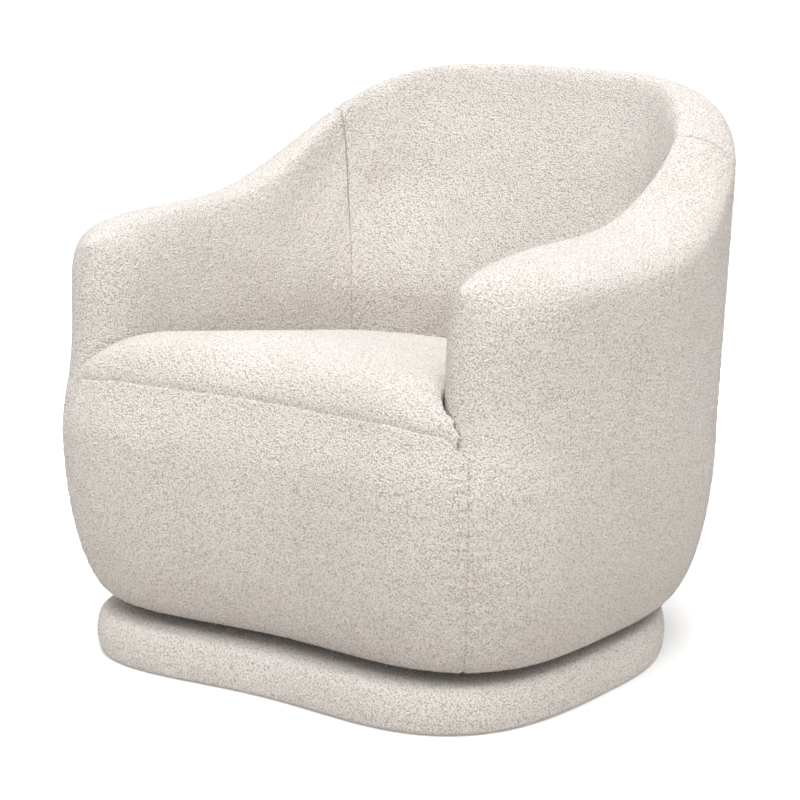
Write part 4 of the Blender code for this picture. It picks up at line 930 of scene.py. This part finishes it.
def settle(piece):
    """Applies a piece's modifiers."""
    depsgraph = bpy.context.evaluated_depsgraph_get()
    mesh = bpy.data.meshes.new_from_object(piece.evaluated_get(depsgraph))
    old = piece.data
    piece.modifiers.clear()
    piece.data = mesh
    bpy.data.meshes.remove(old)
    mesh.name = piece.name


def mesh_points(mesh, kind="co"):
    values = np.empty(len(mesh.vertices) * 3, np.float32)
    mesh.vertices.foreach_get(kind, values)
    return values.reshape(-1, 3).astype(float)


def place_points(mesh, points):
    mesh.vertices.foreach_set("co", points.astype(np.float32).reshape(-1))


def shape_seat(piece):
    """Blows up the seat's top, evens it, refines it and gives it its loops."""
    mesh = piece.data
    points = mesh_points(mesh)
    faces = np.array([tuple(polygon.vertices) for polygon in mesh.polygons])
    normals = mesh_points(mesh, "normal")
    held = (normals[:, 2] < SEAT_HELD_RISE) | (points[:, 2] < SEAM_HEIGHT - FRONT_SAG - DIP)
    place_points(mesh, swollen(points, faces, held, normals, SEAT_SWELL_CAP))
    mesh.update()
    even = piece.modifiers.new("even", "SMOOTH")
    even.factor = SEAT_EVENING
    even.iterations = SEAT_EVENING_ROUNDS
    finer = piece.modifiers.new("finer", "SUBSURF")
    finer.levels = 1
    finer.render_levels = 1
    settle(piece)
    mesh = piece.data
    points, normals = mesh_points(mesh), mesh_points(mesh, "normal")
    height = NUB_HEIGHT * nubs(points - TO_AXIS)
    place_points(mesh, points + height[:, None] * normals)
    mesh.shade_smooth()
    mesh.update()


# Plinth

def make_plinth():
    angle = evenly(lambda a: plinth_plan(a, 0.0), 0.0, 2 * math.pi, PITCH)[:-1]

    def ring(inset, z):
        x, y = plinth_plan(angle, inset)
        return np.stack([x, y, np.full_like(x, z)], -1)

    rows = [ring(inset, PLINTH_FOOT) for inset in PLINTH_HEM_INSETS]
    for turn in np.radians(PLINTH_FOOT_TURNS):
        radius = PLINTH_FOOT_ROUND
        rows.append(ring(radius * (1 - math.sin(turn)), PLINTH_FOOT + radius * (1 - math.cos(turn))))
    side_foot, side_top = PLINTH_FOOT + PLINTH_FOOT_ROUND, PLINTH_TOP - PLINTH_TOP_ROUND
    for share in PLINTH_SIDE_SHARES:
        bulge = PLINTH_BULGE * math.sin(math.pi * share)
        rows.append(ring(-bulge, side_foot + (side_top - side_foot) * share))
    for turn in np.radians(PLINTH_TOP_TURNS):
        radius = PLINTH_TOP_ROUND
        rows.append(ring(radius * (1 - math.cos(turn)), side_top + radius * math.sin(turn)))
    edge = rows[-1]
    around = np.arctan2(edge[:, 1], edge[:, 0])
    opening = np.stack([np.cos(around), np.sin(around)], -1) * SWIVEL_OPENING
    for share in np.linspace(0.0, 1.0, PLINTH_TOP_ROWS)[1:]:
        place = edge[:, :2] + (opening - edge[:, :2]) * share
        rows.append(raised(place, np.full(len(place), PLINTH_TOP)))
    coarse = Grid(np.stack(rows), closed=True)
    factor = 4
    fine = coarse.finer(factor)
    add_nubs(fine, np.ones(fine.points.shape[:2]))
    row = np.arange(len(coarse.points))
    depth = PLINTH_LINING + PLINTH_WADDING * smooth_step((row - PLINTH_LINING_START) / LINING_ROWS)
    piece = quilt("plinth_cover", fine, coarse, depth, factor)
    upholster(piece, "base", "boucle", PLINTH_FILL, "base_cover", "base_foam")


# Dust cloth

def make_dust_sheet():
    """Black cloth stapled under the body, round the opening that the mechanism goes through."""
    inset = HEM + DUST_CLEARANCE

    def outline(angle):
        return body_plan(angle, SIDE_TUCK + inset, FRONT_TUCK + inset, BACK_TUCK + inset)

    turn = evenly(outline, 0.0, 2 * math.pi, DUST_PITCH)[:-1]
    outer = np.stack(outline(turn), -1)
    reach = np.maximum(np.abs(outer), 1e-9)
    inner = outer * np.minimum(OPENING_HALF_WIDTH / reach[:, 0], OPENING_HALF_LENGTH / reach[:, 1])[:, None]
    span = np.linalg.norm(outer - inner, axis=1)
    rows = []
    for share in np.linspace(0.0, 1.0, DUST_ROWS):
        slack = math.sin(math.pi * share)
        wrinkle = DUST_WRINKLE * slack * (1.0 + np.sin(DUST_WAVES * turn + DUST_SLANT * share))
        drop = DUST_SAG * span * slack + wrinkle
        rows.append(raised(inner + (outer - inner) * share, DUST_HEIGHT - drop))
    coarse = Grid(np.stack(rows), closed=True)
    factor = 2
    piece = quilt("dust_sheet", coarse.finer(factor), coarse, np.full(len(rows), DUST_CLOTH), factor)
    corners = coarse.points.reshape(-1, 3)[coarse.faces()]
    across, along = corners[:, 2] - corners[:, 0], corners[:, 3] - corners[:, 1]
    area = np.linalg.norm(np.cross(across, along), axis=1).sum() / 2
    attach(piece, "chair")
    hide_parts("dust_cover")


# Materials

class Paint:
    """A material that is put together node by node."""

    def __init__(self, name):
        self.material = bpy.data.materials.new(name)
        self.material.use_nodes = True
        self.nodes = self.material.node_tree.nodes
        self.link = self.material.node_tree.links.new
        self.shader = self.nodes["Principled BSDF"]

    def set(self, name, value):
        self.shader.inputs[name].default_value = value

    def place(self):
        return self.nodes.new("ShaderNodeTexCoord").outputs["Object"]

    def texture(self, kind, place, **values):
        """A texture, or a mapping for one, laid out by a vector."""
        node = add_node(self.nodes, kind, **values)
        self.link(place, node.inputs["Vector"])
        return node

    def tones(self, source, stops):
        ramp = ramp_node(self.nodes, stops)
        self.link(source, ramp.inputs["Fac"])
        return ramp.outputs["Color"]

    def product(self, first, second, share):
        """One colour multiplied by a share of another, as the base colour."""
        mix = add_node(self.nodes, "ShaderNodeMix", data_type="RGBA", blend_type="MULTIPLY")
        mix.inputs["Factor"].default_value = share
        self.link(first, mix.inputs["A"])
        self.link(second, mix.inputs["B"])
        self.link(mix.outputs["Result"], self.shader.inputs["Base Color"])

    def sum(self, source, share, other):
        """A share of one value, added to another."""
        node = add_node(self.nodes, "ShaderNodeMath", operation="MULTIPLY_ADD")
        node.inputs[1].default_value = share
        self.link(source, node.inputs[0])
        self.link(other, node.inputs[2])
        return node.outputs["Value"]

    def roughness(self, source, limits):
        rough = add_node(self.nodes, "ShaderNodeMapRange")
        rough.inputs["To Min"].default_value, rough.inputs["To Max"].default_value = limits
        self.link(source, rough.inputs["Value"])
        self.link(rough.outputs["Result"], self.shader.inputs["Roughness"])

    def relief(self, source, strength, distance):
        bump = add_node(self.nodes, "ShaderNodeBump", Strength=strength, Distance=distance)
        self.link(source, bump.inputs["Height"])
        self.link(bump.outputs["Normal"], self.shader.inputs["Normal"])


def add_node(nodes, kind, **values):
    node = nodes.new(kind)
    for key, value in values.items():
        if key in node.inputs:
            node.inputs[key].default_value = value
        else:
            setattr(node, key, value)
    return node


def ramp_node(nodes, stops):
    ramp = nodes.new("ShaderNodeValToRGB")
    ramp.color_ramp.elements[0].position = stops[0][0]
    ramp.color_ramp.elements[0].color = (*stops[0][1], 1.0)
    ramp.color_ramp.elements[1].position = stops[-1][0]
    ramp.color_ramp.elements[1].color = (*stops[-1][1], 1.0)
    for place, colour in stops[1:-1]:
        stop = ramp.color_ramp.elements.new(place)
        stop.color = (*colour, 1.0)
    return ramp


def boucle_material():
    """Ivory boucle: looped yarn heads, painted shade darkening the hollows between them, fine fibre and a
    soft sheen.
    """
    paint = Paint("boucle_cloth")
    place = paint.place()
    warp = paint.texture("ShaderNodeTexNoise", place, Scale=WARP_SCALE, Detail=2.0, Roughness=0.5)
    bent = add_node(paint.nodes, "ShaderNodeVectorMath", operation="MULTIPLY_ADD")
    bent.inputs[1].default_value = (WARP_DEPTH,) * 3
    paint.link(warp.outputs["Color"], bent.inputs[0])
    paint.link(place, bent.inputs[2])
    loops, yarn = [paint.texture("ShaderNodeTexVoronoi", bent.outputs["Vector"], feature="SMOOTH_F1",
                                 Scale=scale, Smoothness=LOOP_SMOOTHNESS).outputs["Distance"]
                   for scale in (LOOP_SCALE, YARN_SCALE)]
    fibre = paint.texture("ShaderNodeTexNoise", place, Scale=FIBRE_SCALE, Detail=3.0, Roughness=0.65)
    patches = paint.texture("ShaderNodeTexNoise", place, Scale=PATCH_SCALE, Detail=3.0, Roughness=0.55)
    # The darker end of these tones is painted shade in the hollows between the loops, times a random patchy
    # tone
    paint.product(paint.tones(loops, BOUCLE_TONES_WITH_PAINTED_SHADE), paint.tones(patches.outputs["Fac"], PATCH_TONES), 1.0)
    paint.roughness(fibre.outputs["Fac"], BOUCLE_ROUGHNESS)
    fuzz = add_node(paint.nodes, "ShaderNodeMath", operation="MULTIPLY")
    fuzz.inputs[1].default_value = FIBRE_RELIEF
    paint.link(fibre.outputs["Fac"], fuzz.inputs[0])
    fine = paint.sum(yarn, -YARN_RELIEF, fuzz.outputs["Value"])
    paint.relief(paint.sum(loops, -1.0, fine), 1.0, BOUCLE_RELIEF)
    paint.set("Sheen Weight", SHEEN)
    paint.set("Sheen Roughness", SHEEN_ROUGHNESS)
    paint.set("Specular IOR Level", BOUCLE_SPECULAR)
    return paint.material


def plywood_material():
    """Birch ply: long grain on the faces and thin plies of two tones over the height."""
    paint = Paint("birch_plywood")
    place = paint.place()
    stretch = paint.texture("ShaderNodeMapping", place)
    stretch.inputs["Scale"].default_value = PLY_STRETCH
    grain = paint.texture("ShaderNodeTexNoise", stretch.outputs["Vector"], Scale=PLY_GRAIN, Detail=6.0,
                          Roughness=0.6, Distortion=0.4).outputs["Fac"]
    plies = paint.texture("ShaderNodeTexWave", place, wave_type="BANDS", bands_direction="Z",
                          Scale=PLY_LAYERS, Distortion=0.3).outputs["Fac"]
    paint.product(paint.tones(grain, PLY_TONES), paint.tones(plies, PLY_LAYER_TONES), PLY_LAYER_SHARE)
    paint.roughness(grain, PLY_ROUGHNESS)
    paint.relief(grain, *PLY_RELIEF)
    return paint.material


def metal_material(name, dark, light, scale, limits, metallic):
    """Mottled metal, rubber or nylon: two tones, uneven roughness and fine grain."""
    paint = Paint(name)
    place = paint.place()
    mottle = paint.texture("ShaderNodeTexNoise", place, Scale=scale, Detail=4.0, Roughness=0.6).outputs["Fac"]
    tone = paint.tones(mottle, list(zip(METAL_STOPS, (dark, light))))
    paint.link(tone, paint.shader.inputs["Base Color"])
    paint.roughness(mottle, limits)
    grain = paint.texture("ShaderNodeTexNoise", place, Scale=scale * METAL_GRAIN, Detail=2.0)
    paint.relief(grain.outputs["Fac"], *METAL_RELIEF)
    paint.set("Metallic", metallic)
    return paint.material


def woven_material():
    """Black non-woven dust cloth with a fine felted grain."""
    paint = Paint("dust_cloth_black")
    felt = paint.texture("ShaderNodeTexVoronoi", paint.place(), Scale=FELT_SCALE).outputs["Distance"]
    paint.link(paint.tones(felt, FELT_TONES), paint.shader.inputs["Base Color"])
    paint.roughness(felt, FELT_ROUGHNESS)
    paint.relief(felt, *FELT_RELIEF)
    return paint.material


def dress_frame():
    """Gives every solid that stays in view its finish, by its material slot."""
    finishes = {slot: metal_material(*finish) for slot, finish in METALS.items()}
    finishes["plywood"] = plywood_material()
    finishes["dust_cloth"] = woven_material()
    for part in frame["record"]["subparts"]:
        finish = finishes.get(part["material_slot"])
        if finish:
            node = frame["nodes"][part["node"]]
            node.data.materials.clear()
            node.data.materials.append(finish)
    cloth = boucle_material()
    for name in ("left_arm", "right_arm", "back", "front_panel", "seat_cushion", "plinth_cover"):
        bpy.data.objects[name].data.materials.append(cloth)
    bpy.data.objects["dust_sheet"].data.materials.append(finishes["dust_cloth"])


# Camera and light

def make_camera():
    data = bpy.data.cameras.new("camera")
    data.sensor_width = CAMERA_SENSOR
    data.lens = CAMERA_LENS
    data.shift_x, data.shift_y = CAMERA_SHIFT
    camera = add_object("camera", data)
    level = CAMERA_DISTANCE * math.cos(CAMERA_ELEVATION)
    camera.location = (level * math.sin(CAMERA_AZIMUTH), AXIS_Y - level * math.cos(CAMERA_AZIMUTH),
                       CAMERA_TARGET_HEIGHT + CAMERA_DISTANCE * math.sin(CAMERA_ELEVATION))
    camera.rotation_euler = (math.pi / 2 - CAMERA_ELEVATION, 0.0, CAMERA_AZIMUTH)
    bpy.context.scene.camera = camera


def add_sun(name, azimuth, elevation, spread, strength):
    """Even light from a broad, far source; azimuth 0 is the front and 90 degrees is +X."""
    data = bpy.data.lights.new(name, "SUN")
    data.energy = strength
    data.angle = math.radians(spread)
    light = add_object(name, data)
    light.location = (0.0, 0.0, SUN_HEIGHT)
    light.rotation_euler = (math.pi / 2 - math.radians(elevation), 0.0, math.radians(azimuth))


def make_studio():
    bpy.context.scene.view_settings.view_transform = "Standard"
    world = bpy.data.worlds.new("studio")
    bpy.context.scene.world = world
    world.use_nodes = True
    nodes, links = world.node_tree.nodes, world.node_tree.links
    sky = nodes["Background"]
    sky.inputs["Strength"].default_value = SKY_STRENGTH
    place = nodes.new("ShaderNodeTexCoord")
    parts = nodes.new("ShaderNodeSeparateXYZ")
    links.new(place.outputs["Generated"], parts.inputs["Vector"])
    level = add_node(nodes, "ShaderNodeMapRange")
    level.inputs["From Min"].default_value = -1.0
    links.new(parts.outputs["Z"], level.inputs["Value"])
    horizon = (HORIZON_SHARE,) * 3
    shades = ramp_node(nodes, list(zip(SKY_STOPS, (GLOW_SHARES, horizon, horizon, (1.0, 1.0, 1.0)))))
    links.new(level.outputs["Result"], shades.inputs["Fac"])
    links.new(shades.outputs["Color"], sky.inputs["Color"])
    mesh = bpy.data.meshes.new("floor")
    corners = [(-1.0, -1.0), (1.0, -1.0), (1.0, 1.0), (-1.0, 1.0)]
    mesh.from_pydata([(FLOOR_REACH * x, FLOOR_REACH * y, 0.0) for x, y in corners], [], [(0, 1, 2, 3)])
    floor = add_object("floor", mesh)
    paint = Paint("floor_paint")
    paint.set("Base Color", FLOOR_PAINT)
    paint.set("Roughness", FLOOR_ROUGHNESS)
    mesh.materials.append(paint.material)
    floor.visible_diffuse = False
    add_sun("key", *KEY_SUN)
    add_sun("fill", *FILL_SUN)


make_arms()
make_back()
make_front()
make_seat()
make_plinth()
make_dust_sheet()
dress_frame()
make_camera()
make_studio()
